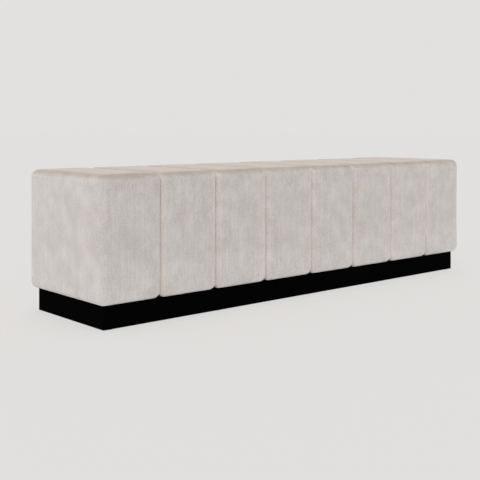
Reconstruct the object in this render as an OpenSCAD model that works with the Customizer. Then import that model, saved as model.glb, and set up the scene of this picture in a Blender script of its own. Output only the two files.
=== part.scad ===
// Bench ottoman: eight upholstered channels on a plywood carcass, over a recessed plinth.
// X runs along the length, Y from front to back and Z up. The origin is on the floor, under the middle.

/* [Upholstered body] */
// Number of channels along the length
channel_count = 8; // [4:1:12]
// Width of one channel, from seam to seam
channel_w = 220; // [190:1:300]
// Depth of the body from front to back, at the edges of its panels
body_d = 440; // [400:1:600]
// Height of the body above the plinth, at the edges of its panels
body_h = 386; // [330:1:480]
// Radius of the rounded outer edges
edge_r = 25; // [18:0.5:32]
// How far the middle of a panel stands out from its edges
crown_h = 2; // [0.5:0.5:4]

/* [Seams] */
// Half of the width of the valley at a seam
seam_half_w = 22.5; // [16:0.5:23.5]
// Radius of the roll on each side of a seam
seam_roll_r = 24; // [24:0.5:32]
// Width of the seam allowance that is turned in below a valley
seam_allowance = 11; // [6:0.5:12]
// How far below the valley a pull strip's outer edge is sewn in
strip_cover = 3; // [2:0.5:5]
// Thickness of a pull strip
strip_t = 1; // [0.6:0.1:1.5]
// Width of the foot that is stapled to the carcass
strip_foot_w = 14; // [10:1:20]

/* [Cover and padding] */
// Thickness of the cover fabric with its backing
cover_t = 2; // [1:0.1:3]
// Flat strip of the underside between the rounded edge and the carcass
pad_flat_w = 5.5; // [5.5:0.5:15]
// Depth of the padding over the deck
seat_pad_t = 70; // [55:1:100]
// How far the cover is turned in under the carcass
turn_under_w = 28; // [15:1:30]
// Thickness of the dust cover
dust_cover_t = 1; // [0.6:0.1:1]

/* [Carcass] */
// Thickness of the panels and the ribs
panel_t = 12; // [9:1:18]
// Thickness of the deck panel
deck_t = 15; // [12:1:18]
// Width of a bottom rail
rail_w = 45; // [40:1:60]
// Height of a bottom rail
rail_h = 35; // [25:1:45]
// Side of a corner post
post_w = 35; // [30:1:45]
// Height of a rib tab in a panel
side_tab_h = 60; // [30:1:70]
// Length of a rib tab in the deck
deck_tab_l = 50; // [30:1:60]
// Width of a lightening hole in a rib
rib_hole_w = 100; // [60:1:110]
// Height of a lightening hole in a rib
rib_hole_h = 160; // [120:1:180]
// Diameter of a breather hole in the deck
breather_d = 20; // [10:1:30]
// Diameter of a rail dowel
dowel_d = 8; // [6:1:12]
// Length of a rail dowel
dowel_l = 50; // [30:1:60]

/* [Plinth] */
// Height of the plinth from the floor to its top
plinth_h = 74; // [60:1:110]
// How far the plinth is set back from the body
plinth_setback = 25; // [20:1:40]
// Thickness of the plinth boards
board_t = 18; // [16:1:22]
// Number of braces across the plinth
brace_count = 4; // [2:1:4]
// Width of a brace
brace_w = 80; // [60:1:100]
// Thickness of a brace
brace_t = 18; // [15:1:22]
// Depth of the housings that hold the braces
housing_depth = 6; // [4:1:8]
// Side of a corner block
block_w = 30; // [25:1:34]
// Number of glides under each long board
glide_count = 5; // [2:1:7]
// Diameter of a glide
glide_d = 16; // [12:1:16]
// Height that a glide lifts the plinth off the floor
glide_h = 1.5; // [1:0.5:4]

/* [Fixings] */
// Diameter of a body bolt
bolt_d = 8; // [6:1:8]
// Thickness of a bolt's head
bolt_head_t = 5.3; // [4:0.1:6]
// Distance across the corners of a bolt's head
bolt_head_w = 15; // [12:0.5:16]
// Diameter of a washer
washer_d = 20; // [18:1:24]
// Thickness of a washer
washer_t = 1.6; // [1:0.1:2]
// Diameter of a tee nut's flange
tee_nut_d = 22; // [18:1:24]
// Diameter of a tee nut's barrel
tee_barrel_d = 10; // [9.5:0.5:12]
// Length of a tee nut's barrel
tee_barrel_l = 9; // [6:1:12]
// Diameter of a wood screw
screw_d = 4; // [3:0.5:5]
// Diameter of a wood screw's head
screw_head_d = 8; // [6:0.5:9]
// Length of a wood screw
screw_l = 40; // [36:1:44]

/* [Clearances] */
// Gap round a tab, a brace end, a dowel or a screw
joint_gap = 0.1; // [0.05:0.05:0.3]
// Gap between a soft piece and its neighbour
soft_gap = 0.3; // [0.2:0.1:0.5]
// Gap round a bolt in its hole
bolt_gap = 0.5; // [0.3:0.1:1]

/* [Hidden] */
// Overrun of a cut past the face that it opens
overrun = 1;
// Smallest radius of a section's corner
corner_min_r = 1;
// Width of the slope from a valley to the flat underside
heel_w = 0.7;
// Thickness of a tee nut's flange
tee_flange_t = 1.5;
// Length of a bolt past its tee nut
bolt_end = 2;
// Diameter and length of the nail of a glide
nail_d = 3;
nail_l = 15;
// Height of a countersunk head and of a screw's point
screw_head_t = 2.4;
screw_point_l = 5;
// Diameter of a screw at its tip
screw_tip_d = 0.8;
// Gap between a corner block and the top of the plinth's braces
block_clear = 2;
// Facets of a full circle
$fn = 48;

// Steps round a corner of a section, over an end's edge and over a seam's roll
corner_steps = 5;
end_steps = 6;
roll_steps = 4;
pad_steps = 3;
// Shares of an end panel's size and crown at which it has a ring of points
end_ring_shares = [[0.35, 0.88], [0.7, 0.51]];
// Least share of the crown that a ring's middles stand out by, so that all rings hold the same points
edge_bulge_share = 0.01;
// Shares of a post's height for the screws through the long panels and the end panels
long_screw_shares = [0.2, 0.7];
end_screw_shares = [0.35, 0.85];
// Shares of a rib's height for the tabs, and of its width for deck tabs, holes and screws
side_tab_shares = [0.3, 0.78];
deck_tab_share = 0.3;
rib_hole_share = 0.22;
rib_screw_share = 0.42;
// Shares of a corner block's height for its two screws
block_screw_shares = [0.3, 0.7];
// Shares of a rail's width for its dowels
dowel_shares = [0.3, 0.7];
// Share of the carcass's depth between its middle and a breather hole
breather_share = 0.25;

side_pad_t = edge_r + pad_flat_w;
body_l = channel_count * channel_w;
body_z = plinth_h;
body_top = body_z + body_h;
body_mid_z = body_z + body_h / 2;

core_l = body_l - 2 * side_pad_t;
core_d = body_d - 2 * side_pad_t;
core_z = body_z + cover_t;
deck_top = body_top - seat_pad_t;
deck_z = deck_top - deck_t;
inner_d = core_d - 2 * panel_t;
inner_l = core_l - 2 * panel_t;
rail_top = core_z + rail_h;
post_h = deck_z - rail_top;

plinth_l = body_l - 2 * plinth_setback;
plinth_d = body_d - 2 * plinth_setback;
board_h = plinth_h - glide_h;
block_h = board_h - brace_t - block_clear;

// The roll stops where it meets the pull strip in the seam
roll_angle = asin(min(1, (seam_half_w - strip_t / 2) / seam_roll_r));
seam_depth = seam_roll_r * (1 - cos(roll_angle));
window_inset = min(side_pad_t, seam_depth + seam_allowance);
strip_inset = seam_depth + strip_cover;

// The cover lies flat below the body from just outside the carcass inwards
heel_y = core_d / 2 + soft_gap + cover_t;
bolt_y = inner_d / 2 - rail_w / 2;

seams = [for (i = [1:channel_count - 1]) seam_x(i)];
brace_places = [for (j = [0:brace_count - 1]) channel_x(brace_channel(j))];
bolt_places = [for (x = brace_places, side = [-1, 1]) [x, side * bolt_y]];
post_places = [for (sx = [-1, 1], sy = [-1, 1])
    [sx * (inner_l - post_w) / 2, sy * (inner_d - post_w) / 2]];
glide_span = plinth_l - 2 * board_t - glide_d;
glide_places = [for (j = [0:glide_count - 1], side = [-1, 1])
    [glide_span * (j / (glide_count - 1) - 1 / 2), side * (plinth_d - board_t) / 2]];

// A screw's place is its head's middle and the turn that points it into the wood
long_panel_screws = [for (p = post_places, share = long_screw_shares)
    [[p[0], sign(p[1]) * core_d / 2, rail_top + share * post_h], [sign(p[1]) * -90, 0, 0]]];
end_panel_screws = [for (p = post_places, share = end_screw_shares)
    [[sign(p[0]) * core_l / 2, p[1], rail_top + share * post_h], [0, sign(p[0]) * 90, 0]]];
deck_post_screws = [for (p = post_places) [[p[0], p[1], deck_top], [0, 0, 0]]];
deck_rib_screws = [for (x = seams, side = [-1, 1])
    [[x, side * rib_screw_share * inner_d, deck_top], [0, 0, 0]]];
block_x = plinth_l / 2 - board_t - block_w;
block_y = plinth_d / 2 - board_t - block_w;
block_screw_z = [for (share = block_screw_shares) glide_h + share * block_h];
block_long_screws = [for (sx = [-1, 1], sy = [-1, 1])
    [[sx * (block_x + block_w / 2), sy * block_y, block_screw_z[0]], [sy * 90, 0, 0]]];
block_end_screws = [for (sx = [-1, 1], sy = [-1, 1])
    [[sx * block_x, sy * (block_y + block_w / 2), block_screw_z[1]], [0, sx * -90, 0]]];

cover_color = [0.78, 0.75, 0.71];
foam_color = [0.93, 0.89, 0.76];
strip_color = [0.86, 0.84, 0.8];
ply_color = [0.82, 0.68, 0.48];
timber_color = [0.87, 0.74, 0.54];
plinth_color = [0.03, 0.03, 0.03];
dust_color = [0.09, 0.09, 0.1];
steel_color = [0.72, 0.73, 0.75];
nylon_color = [0.88, 0.88, 0.86];

function numbered(name, count) = [for (i = [1:count]) str(name, i)];

function seam_x(i) = (i - channel_count / 2) * channel_w;
function channel_x(i) = (i + 1 / 2 - channel_count / 2) * channel_w;
function brace_channel(j) = round((channel_count - 1) * j / (brace_count - 1));

// Points on an arc about a centre, in degrees
function arc(centre, r, from, to, steps) =
    [for (k = [0:steps]) let (a = from + (to - from) * k / steps) centre + r * [cos(a), sin(a)]];

// Section of the body in Y and Z, inset from its panels. Its lower corners join the flat underside over
// a heel. The middles of the front, the top and the back stand out by the bulge.
function section(inset, floor_inset, bulge, shrink, steps) =
    let (r = max(corner_min_r, edge_r - inset))
    let (y = body_d / 2 - inset - r)
    let (low = body_z + inset + r)
    let (high = body_top - inset - r)
    let (heel = heel_y - shrink)
    let (floor_z = body_z + floor_inset)
    concat(
        arc([y, low], r, -90, 0, steps),
        bulge > 0 ? [[y + r + bulge, body_mid_z]] : [],
        arc([y, high], r, 0, 90, steps),
        bulge > 0 ? [[0, high + r + bulge]] : [],
        arc([-y, high], r, 90, 180, steps),
        bulge > 0 ? [[-y - r - bulge, body_mid_z]] : [],
        arc([-y, low], r, 180, 270, steps),
        [[-heel - heel_w, low - r], [-heel, floor_z], [heel, floor_z], [heel + heel_w, low - r]]
    );

// A ring is a section at one place along the length, scaled about the middle of the body
function ring(x, points, scale_share) =
    [for (p = points) [x, p[0] * scale_share, body_mid_z + (p[1] - body_mid_z) * scale_share]];

// How far a panel of the channel stands out at a place along the length, as a parabola between its seams
function bulge_at(i, x) = crown_h * max(edge_bulge_share, 1 - pow((x - channel_x(i)) / (channel_w / 2), 2));

// Rings over the roll beside a seam, from the seam inwards. way is 1 on the left side and -1 on the right.
function seam_rings(i, x, way, shrink, steps) =
    let (r = seam_roll_r - shrink)
    let (last = asin(min(1, (seam_half_w - strip_t / 2 - shrink) / r)))
    let (fine = shrink > 0 ? pad_steps : corner_steps)
    [for (k = [steps:-1:0])
        let (a = last * k / steps)
        let (at = x + way * (seam_half_w - r * sin(a)))
        let (bulge = shrink > 0 ? 0 : bulge_at(i, at))
        ring(at, section(shrink + r * (1 - cos(a)), shrink, bulge, shrink, fine), 1)];

// Rings over the rounded edge of an end panel, from its face inwards
function end_rings(i, x, way, shrink, steps) =
    let (r = edge_r - shrink)
    let (fine = shrink > 0 ? pad_steps : corner_steps)
    let (face = section(edge_r, edge_r, crown_h * edge_bulge_share, 0, fine))
    concat(
        shrink > 0 ? [] : [for (s = end_ring_shares) ring(x - way * crown_h * s[1], face, s[0])],
        [for (k = [steps:-1:0])
            let (a = 90 * k / steps)
            let (inset = shrink + r * (1 - cos(a)))
            let (at = x + way * (edge_r - r * sin(a)))
            let (bulge = shrink > 0 ? 0 : bulge_at(i, at))
            ring(at, section(inset, inset, bulge, shrink, fine), 1)]
    );

function backwards(list) = [for (k = [len(list) - 1:-1:0]) list[k]];

// All rings of one channel from left to right
function channel_rings(i, shrink) =
    let (left = seam_x(i))
    let (right = seam_x(i + 1))
    let (rolls = shrink > 0 ? pad_steps : roll_steps)
    let (ends = shrink > 0 ? pad_steps + 1 : end_steps)
    concat(
        i == 0 ? end_rings(i, left, 1, shrink, ends) : seam_rings(i, left, 1, shrink, rolls),
        shrink > 0 ? [] : [ring(channel_x(i), section(0, 0, crown_h, 0, corner_steps), 1)],
        backwards(i == channel_count - 1
            ? end_rings(i, right, -1, shrink, ends) : seam_rings(i, right, -1, shrink, rolls))
    );

// Index of a ring's highest point, which sees all the others across the section
function top_index(one) = [for (k = [0:len(one) - 1]) if (one[k][2] == max([for (p = one) p[2]])) k][0];

// Triangles that close a ring, as a fan from one of its points. way is 1 on the left and -1 on the right.
function fan(first, n, from, way) = [for (k = [1:n - 2])
    [first + from, first + (from + way * k + n) % n, first + (from + way * (k + 1) + n) % n]];

// Closed skin through rings that hold the same number of points
module loft(rings) {
    n = len(rings[0]);
    last = len(rings) - 1;
    points = [for (one = rings, p = one) p];
    sides = [for (j = [0:last - 1], k = [0:n - 1])
        let (a = j * n + k, b = j * n + (k + 1) % n, c = (j + 1) * n + (k + 1) % n, d = (j + 1) * n + k)
        each [[a, d, c], [a, c, b]]];
    left_cap = fan(0, n, top_index(rings[0]), 1);
    right_cap = fan(last * n, n, top_index(rings[last]), -1);
    polyhedron(points, concat(left_cap, right_cap, sides));
}

// Padded form of one channel, shrunk from the outside of the cover
module channel_form(i, shrink) {
    loft(channel_rings(i, shrink));
}

// Extrusion along the length of an outline in Y and Z, about a place on X
module along_x(x, length) {
    translate([x - length / 2, 0, 0]) rotate([90, 0, 90]) linear_extrude(length) children();
}

// Block from its low corner to its high corner
module block(low, high) {
    translate(low) cube(high - low);
}

// Outline of the carcass in Y and Z, grown outwards at the sides and the top
module core_outline(grow, low) {
    translate([-core_d / 2 - grow, low]) square([core_d + 2 * grow, deck_top + grow - low]);
}

// Window inside the seam allowances of a seam
module seam_window(x) {
    depth = 2 * (cover_t + strip_t + overrun);
    window_d = body_d - 2 * window_inset;
    along_x(x, depth) translate([-window_d / 2, core_z]) square([window_d, body_top - window_inset - core_z]);
}

// Opening below a channel, inside the turned-in cover
module underside_opening(i) {
    half_d = core_d / 2 - turn_under_w;
    end_x = core_l / 2 - turn_under_w;
    low_x = i == 0 ? -end_x : seam_x(i) - overrun;
    high_x = i == channel_count - 1 ? end_x : seam_x(i + 1) + overrun;
    block([low_x, -half_d, body_z - overrun], [high_x, half_d, core_z + overrun]);
}

// Cover panel of one channel: the padded form with its allowances turned in at the seams and below
module cover(i) {
    color(cover_color) difference() {
        channel_form(i, 0);
        channel_form(i, cover_t);
        if (i > 0) seam_window(seam_x(i));
        if (i < channel_count - 1) seam_window(seam_x(i + 1));
        underside_opening(i);
    }
}

// Space over the carcass that its pads lie on, and the room for the foot of a pull strip
module carcass_space(i) {
    low_x = i == 0 ? -core_l / 2 : seam_x(i) - overrun;
    high_x = i == channel_count - 1 ? core_l / 2 : seam_x(i + 1) + overrun;
    along_x((low_x + high_x) / 2, high_x - low_x) core_outline(0, body_z - overrun);
}

module strip_foot_space(i) {
    foot_w = strip_foot_w + soft_gap;
    along_x(seam_x(i) + foot_w / 2, foot_w) core_outline(strip_t + soft_gap, body_z - overrun);
}

// Foam over the front, the seat and the back of one channel
module foam_saddle(i) {
    color(foam_color) difference() {
        channel_form(i, cover_t + soft_gap);
        carcass_space(i);
        if (i > 0) strip_foot_space(i);
        if (i == 0) end_pad_space(-1);
        if (i == channel_count - 1) end_pad_space(1);
    }
}

// Space past an end of the carcass, on the left with side -1 and on the right with side 1
module end_pad_space(side) {
    pad_x = side * (core_l / 2 + side_pad_t / 2);
    along_x(pad_x, side_pad_t) translate([-body_d / 2, body_z]) square([body_d, body_h]);
}

module end_pad(side) {
    color(foam_color) intersection() {
        channel_form(side < 0 ? 0 : channel_count - 1, cover_t + soft_gap);
        end_pad_space(side);
    }
}

// Outer outline of a pull strip in Y and Z. Its rounded corners follow the valley of the seam.
module strip_outline() {
    r = max(corner_min_r, edge_r - strip_inset);
    y = body_d / 2 - strip_inset - r;
    low = body_z + strip_inset + r;
    high = body_top - strip_inset - r;
    polygon(concat(
        arc([y, low], r, -90, 0, corner_steps),
        arc([y, high], r, 0, 90, corner_steps),
        arc([-y, high], r, 90, 180, corner_steps),
        arc([-y, low], r, 180, 270, corner_steps)));
}

// Strip sewn into a seam: a web down to the carcass, and a foot on it beside the seam
module pull_strip(i) {
    color(strip_color) union() {
        along_x(seam_x(i), strip_t) difference() {
            strip_outline();
            core_outline(0, body_z);
        }
        along_x(seam_x(i) + strip_foot_w / 2, strip_foot_w) difference() {
            core_outline(strip_t, body_z + strip_inset);
            core_outline(0, body_z);
        }
    }
}

// Sheet under the carcass, inside the turned-in cover, with holes for the body bolts
module dust_cover() {
    sheet_l = core_l - 2 * turn_under_w - 2 * soft_gap;
    sheet_d = core_d - 2 * turn_under_w - 2 * soft_gap;
    color(dust_color) difference() {
        translate([-sheet_l / 2, -sheet_d / 2, core_z - dust_cover_t]) cube([sheet_l, sheet_d, dust_cover_t]);
        bolt_holes();
    }
}

module bolt_holes() {
    for (p = bolt_places) translate([p[0], p[1], 0])
        cylinder(d = bolt_d + 2 * bolt_gap, h = rail_top + overrun);
}

// Countersunk wood screw with its head's face at the origin, pointing down
module wood_screw(gap) {
    shank_l = screw_l - screw_head_t - screw_point_l;
    translate([0, 0, -screw_head_t])
        cylinder(d1 = screw_d + 2 * gap, d2 = screw_head_d + 2 * gap, h = screw_head_t);
    translate([0, 0, -screw_head_t - shank_l]) cylinder(d = screw_d + 2 * gap, h = shank_l);
    translate([0, 0, -screw_l])
        cylinder(d1 = screw_tip_d + 2 * gap, d2 = screw_d + 2 * gap, h = screw_point_l);
}

module screws(places) {
    for (p = places) translate(p[0]) rotate(p[1]) wood_screw(0);
}

module screw_holes(places) {
    for (p = places) translate(p[0]) rotate(p[1]) wood_screw(joint_gap);
}

// Slots for the tabs of the ribs, through a long panel on the side of its sign
module side_tab_slots(side) {
    slot_w = panel_t + 2 * joint_gap;
    slot_h = side_tab_h + 2 * joint_gap;
    for (x = seams, share = side_tab_shares)
        translate([x - slot_w / 2, side * (inner_d + panel_t) / 2 - panel_t / 2 - overrun,
            side_tab_z(share) - slot_h / 2])
            cube([slot_w, panel_t + 2 * overrun, slot_h]);
}

function side_tab_z(share) = rail_top + share * (deck_z - rail_top);

module long_panel(side) {
    color(ply_color) difference() {
        translate([-inner_l / 2, side > 0 ? inner_d / 2 : -core_d / 2, core_z])
            cube([inner_l, panel_t, deck_z - core_z]);
        side_tab_slots(side);
        screw_holes(long_panel_screws);
    }
}

module end_panel(side) {
    color(ply_color) difference() {
        translate([side > 0 ? inner_l / 2 : -core_l / 2, -core_d / 2, core_z])
            cube([panel_t, core_d, deck_z - core_z]);
        screw_holes(end_panel_screws);
    }
}

// Hole with round ends, upright about its middle
module upright_slot(w, h) {
    square([w, h - w], center = true);
    for (side = [-1, 1]) translate([0, side * (h - w) / 2]) circle(d = w);
}

// Rib under a seam: tabs through the long panels and the deck, notches over the rails, two lightening holes
module rib(i) {
    mid_z = (rail_top + deck_z) / 2;
    color(ply_color) difference() {
        along_x(seam_x(i), panel_t) difference() {
            union() {
                translate([-inner_d / 2, core_z]) square([inner_d, deck_z - core_z]);
                for (share = side_tab_shares)
                    translate([-core_d / 2, side_tab_z(share) - side_tab_h / 2]) square([core_d, side_tab_h]);
                for (side = [-1, 1])
                    translate([side * deck_tab_share * inner_d - deck_tab_l / 2, deck_z])
                        square([deck_tab_l, deck_t]);
            }
            for (side = [-1, 1]) {
                translate([side * rib_hole_share * inner_d, mid_z]) upright_slot(rib_hole_w, rib_hole_h);
                translate([side * bolt_y - rail_w / 2 - joint_gap, core_z - overrun])
                    square([rail_w + 2 * joint_gap, rail_h + joint_gap + overrun]);
            }
        }
        screw_holes(deck_rib_screws);
    }
}

module deck_panel() {
    slot_w = panel_t + 2 * joint_gap;
    slot_l = deck_tab_l + 2 * joint_gap;
    color(ply_color) difference() {
        translate([-core_l / 2, -core_d / 2, deck_z]) cube([core_l, core_d, deck_t]);
        for (x = seams, side = [-1, 1])
            translate([x - slot_w / 2, side * deck_tab_share * inner_d - slot_l / 2, deck_z - overrun])
                cube([slot_w, slot_l, deck_t + 2 * overrun]);
        for (i = [0:channel_count - 1], side = [-1, 1])
            translate([channel_x(i), side * breather_share * core_d, deck_z - overrun])
                cylinder(d = breather_d, h = deck_t + 2 * overrun);
        screw_holes(deck_post_screws);
        screw_holes(deck_rib_screws);
    }
}

// Dowels across the joints where the end rails butt against the front and rear rails
module dowels(gap) {
    joint_y = inner_d / 2 - rail_w;
    for (sx = [-1, 1], sy = [-1, 1], share = dowel_shares)
        translate([sx * (inner_l / 2 - share * rail_w), sy * joint_y, core_z + rail_h / 2])
            rotate([90, 0, 0]) cylinder(d = dowel_d + 2 * gap, h = dowel_l + 2 * gap, center = true);
}

module long_rail(side) {
    color(timber_color) difference() {
        translate([-inner_l / 2, side * bolt_y - rail_w / 2, core_z]) cube([inner_l, rail_w, rail_h]);
        bolt_holes();
        for (p = bolt_places) translate([p[0], p[1], rail_top - tee_barrel_l - joint_gap])
            cylinder(d = tee_barrel_d + 2 * joint_gap, h = tee_barrel_l + joint_gap + overrun);
        dowels(joint_gap);
    }
}

module end_rail(side) {
    between = inner_d - 2 * rail_w;
    color(timber_color) difference() {
        translate([side > 0 ? inner_l / 2 - rail_w : -inner_l / 2, -between / 2, core_z])
            cube([rail_w, between, rail_h]);
        dowels(joint_gap);
    }
}

module corner_posts() {
    color(timber_color) difference() {
        for (p = post_places) translate([p[0] - post_w / 2, p[1] - post_w / 2, rail_top])
            cube([post_w, post_w, post_h]);
        screw_holes(long_panel_screws);
        screw_holes(end_panel_screws);
        screw_holes(deck_post_screws);
    }
}

// Board with mitred ends, its outer face on the X axis and its inner face above it
module mitred_board(length) {
    half = length / 2;
    translate([0, 0, glide_h]) linear_extrude(board_h)
        polygon([[-half, 0], [half, 0], [half - board_t, board_t], [board_t - half, board_t]]);
}

module glide_nails(gap) {
    for (p = glide_places) translate([p[0], p[1], glide_h])
        cylinder(d = nail_d + 2 * gap, h = nail_l + gap);
}

// A brace reaches into housings at the top of the front and rear boards
module brace_blank(x, gap) {
    length = plinth_d - 2 * (board_t - housing_depth) + 2 * gap - 2 * joint_gap;
    translate([x - brace_w / 2 - gap, -length / 2, plinth_h - brace_t - gap])
        cube([brace_w + 2 * gap, length, brace_t + gap + (gap > 0 ? overrun : 0)]);
}

module plinth_long_board(side) {
    color(plinth_color) difference() {
        rotate([0, 0, side > 0 ? 180 : 0]) translate([0, -plinth_d / 2, 0]) mitred_board(plinth_l);
        for (x = brace_places) brace_blank(x, 2 * joint_gap);
        glide_nails(joint_gap);
        screw_holes(block_long_screws);
    }
}

module plinth_end_board(side) {
    color(plinth_color) difference() {
        rotate([0, 0, side * 90]) translate([0, -plinth_l / 2, 0]) mitred_board(plinth_d);
        screw_holes(block_end_screws);
    }
}

module plinth_brace(j) {
    color(timber_color) difference() {
        brace_blank(brace_places[j], 0);
        bolt_holes();
    }
}

module corner_blocks() {
    color(timber_color) difference() {
        for (sx = [-1, 1], sy = [-1, 1])
            translate([sx * (block_x + block_w / 2), sy * (block_y + block_w / 2), glide_h + block_h / 2])
                cube([block_w, block_w, block_h], center = true);
        screw_holes(block_long_screws);
        screw_holes(block_end_screws);
    }
}

module floor_glides() {
    color(nylon_color) union() {
        for (p = glide_places) translate([p[0], p[1], 0]) cylinder(d = glide_d, h = glide_h);
        glide_nails(0);
    }
}

module body_bolts() {
    head_z = plinth_h - brace_t - washer_t;
    color(steel_color) for (p = bolt_places) translate([p[0], p[1], 0]) union() {
        translate([0, 0, head_z - bolt_head_t]) cylinder(d = bolt_head_w, h = bolt_head_t, $fn = 6);
        translate([0, 0, head_z]) cylinder(d = bolt_d, h = rail_top + tee_flange_t + bolt_end - head_z);
    }
}

module bolt_washers() {
    color(steel_color) for (p = bolt_places) translate([p[0], p[1], plinth_h - brace_t - washer_t])
        difference() {
            cylinder(d = washer_d, h = washer_t);
            translate([0, 0, -overrun]) cylinder(d = bolt_d + 2 * bolt_gap, h = washer_t + 2 * overrun);
        }
}

module tee_nuts() {
    color(steel_color) for (p = bolt_places) translate([p[0], p[1], rail_top]) difference() {
        union() {
            cylinder(d = tee_nut_d, h = tee_flange_t);
            translate([0, 0, -tee_barrel_l]) cylinder(d = tee_barrel_d, h = tee_barrel_l);
        }
        translate([0, 0, -tee_barrel_l - overrun])
            cylinder(d = bolt_d + 2 * joint_gap, h = tee_barrel_l + tee_flange_t + 2 * overrun);
    }
}

module frame_screws() {
    color(steel_color) {
        screws(long_panel_screws);
        screws(end_panel_screws);
        screws(deck_post_screws);
        screws(deck_rib_screws);
    }
}

module block_screws() {
    color(steel_color) {
        screws(block_long_screws);
        screws(block_end_screws);
    }
}

for (i = [0:channel_count - 1]) cover(i);
for (i = [0:channel_count - 1]) foam_saddle(i);
for (i = [1:channel_count - 1]) pull_strip(i);
for (i = [1:channel_count - 1]) rib(i);
for (j = [0:brace_count - 1]) plinth_brace(j);
end_pad(-1);  // left_end_pad
end_pad(1);  // right_end_pad
dust_cover();
long_panel(-1);  // front_panel
long_panel(1);  // rear_panel
end_panel(-1);  // left_end_panel
end_panel(1);  // right_end_panel
deck_panel();
long_rail(-1);  // front_rail
long_rail(1);  // rear_rail
end_rail(-1);  // left_rail
end_rail(1);  // right_rail
color(timber_color) dowels(0);  // rail_dowels
corner_posts();
plinth_long_board(-1);  // plinth_front_board
plinth_long_board(1);  // plinth_rear_board
plinth_end_board(-1);  // plinth_left_board
plinth_end_board(1);  // plinth_right_board
corner_blocks();
floor_glides();
frame_screws();
block_screws();
body_bolts();
bolt_washers();
tee_nuts();
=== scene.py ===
"""Channelled bench ottoman: upholstery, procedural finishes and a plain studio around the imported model."""

import math

import bpy
import numpy as np
from bpy.props import FloatProperty, FloatVectorProperty, PointerProperty
from bpy.types import Operator, Panel, PropertyGroup
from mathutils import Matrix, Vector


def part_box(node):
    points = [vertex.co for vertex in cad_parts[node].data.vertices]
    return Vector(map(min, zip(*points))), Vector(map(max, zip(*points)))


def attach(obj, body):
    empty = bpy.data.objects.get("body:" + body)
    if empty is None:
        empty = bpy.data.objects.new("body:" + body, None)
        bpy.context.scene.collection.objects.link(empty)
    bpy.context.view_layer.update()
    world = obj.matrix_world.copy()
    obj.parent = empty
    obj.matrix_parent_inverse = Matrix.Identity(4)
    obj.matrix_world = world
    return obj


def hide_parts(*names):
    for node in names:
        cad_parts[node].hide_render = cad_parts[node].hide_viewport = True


bl_info = {
    "name": "Channelled Bench Ottoman",
    "version": (1, 0, 0),
    "blender": (4, 5, 0),
    "location": "View3D > Sidebar > Ottoman",
    "description": "Upholstery, foam, finishes and studio for a channelled bench ottoman",
    "category": "Add Mesh",
}

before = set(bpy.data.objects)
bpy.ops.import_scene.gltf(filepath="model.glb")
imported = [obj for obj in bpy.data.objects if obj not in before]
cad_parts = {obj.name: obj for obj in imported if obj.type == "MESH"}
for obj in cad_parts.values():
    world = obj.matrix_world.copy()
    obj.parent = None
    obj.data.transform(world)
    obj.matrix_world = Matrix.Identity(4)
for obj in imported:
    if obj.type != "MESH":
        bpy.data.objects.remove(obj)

BODY = "root"

# Lengths in metres that the forms are drawn with.
SAME_PLACE = 1e-6
LEAST_RADIUS = 0.0005
HEEL_START = 0.002
HEEL_BEND = 0.0017
UNDERSIDE = 0.004
PUCKER_HEIGHT = 0.00012
PUCKER_REACH = 0.05
SHEET_RISE = 0.0002
BORDER_WIDTH = 0.006
HEM_STAPLE_IN = 0.007
SHEET_STAPLE_IN = 0.008
BRACE_ROOM = 0.008
END_ROOM = 0.02
RIB_SWAY = 0.0008

# Points round half of the body's section, from the middle of the underside to the middle of the top.
UNDER_ROWS = 6
HEM_ROWS = 5
HEEL_ROWS = 6
CORNER_ROWS = 9
FRONT_ROWS = 44
TOP_ROWS = 27

# Columns of a cover along its channel, and the rings of an end face.
ROLL_COLUMNS = 13
TUCK_COLUMNS = 4
PANEL_COLUMNS = 25
HEM_COLUMNS = 6
END_COLUMNS = 12
FACE_RINGS = 20
CALM_RINGS = 6
CALM_PASSES = 24

# The fabric in the simulation that swells it.
CLOTH_STEPS = 20
CLOTH = {
    "quality": 6,
    "mass": 0.4,
    "tension_stiffness": 60,
    "compression_stiffness": 60,
    "shear_stiffness": 20,
    "bending_stiffness": 10,
    "use_pressure": True,
    "uniform_pressure_force": 1,
}

# The staples along an end's hem, the most that one is turned, and the step of the turn's sine, in radians.
END_STAPLES = 7
STAPLE_TURN = 0.07
STAPLE_BEAT = 2.4

# The two hues that the pile plays between.
COOL_PLAY = (0.987, 1.001, 1.017)
WARM_PLAY = (1.013, 0.999, 0.983)

# The floor's corners and its inner rings, the film and how far the camera sees.
FLOOR_CORNERS = 64
FLOOR_RINGS = (0.0001, 2.0)
FILM_WIDTH = 36
FAR_LIMIT = 200


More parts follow.
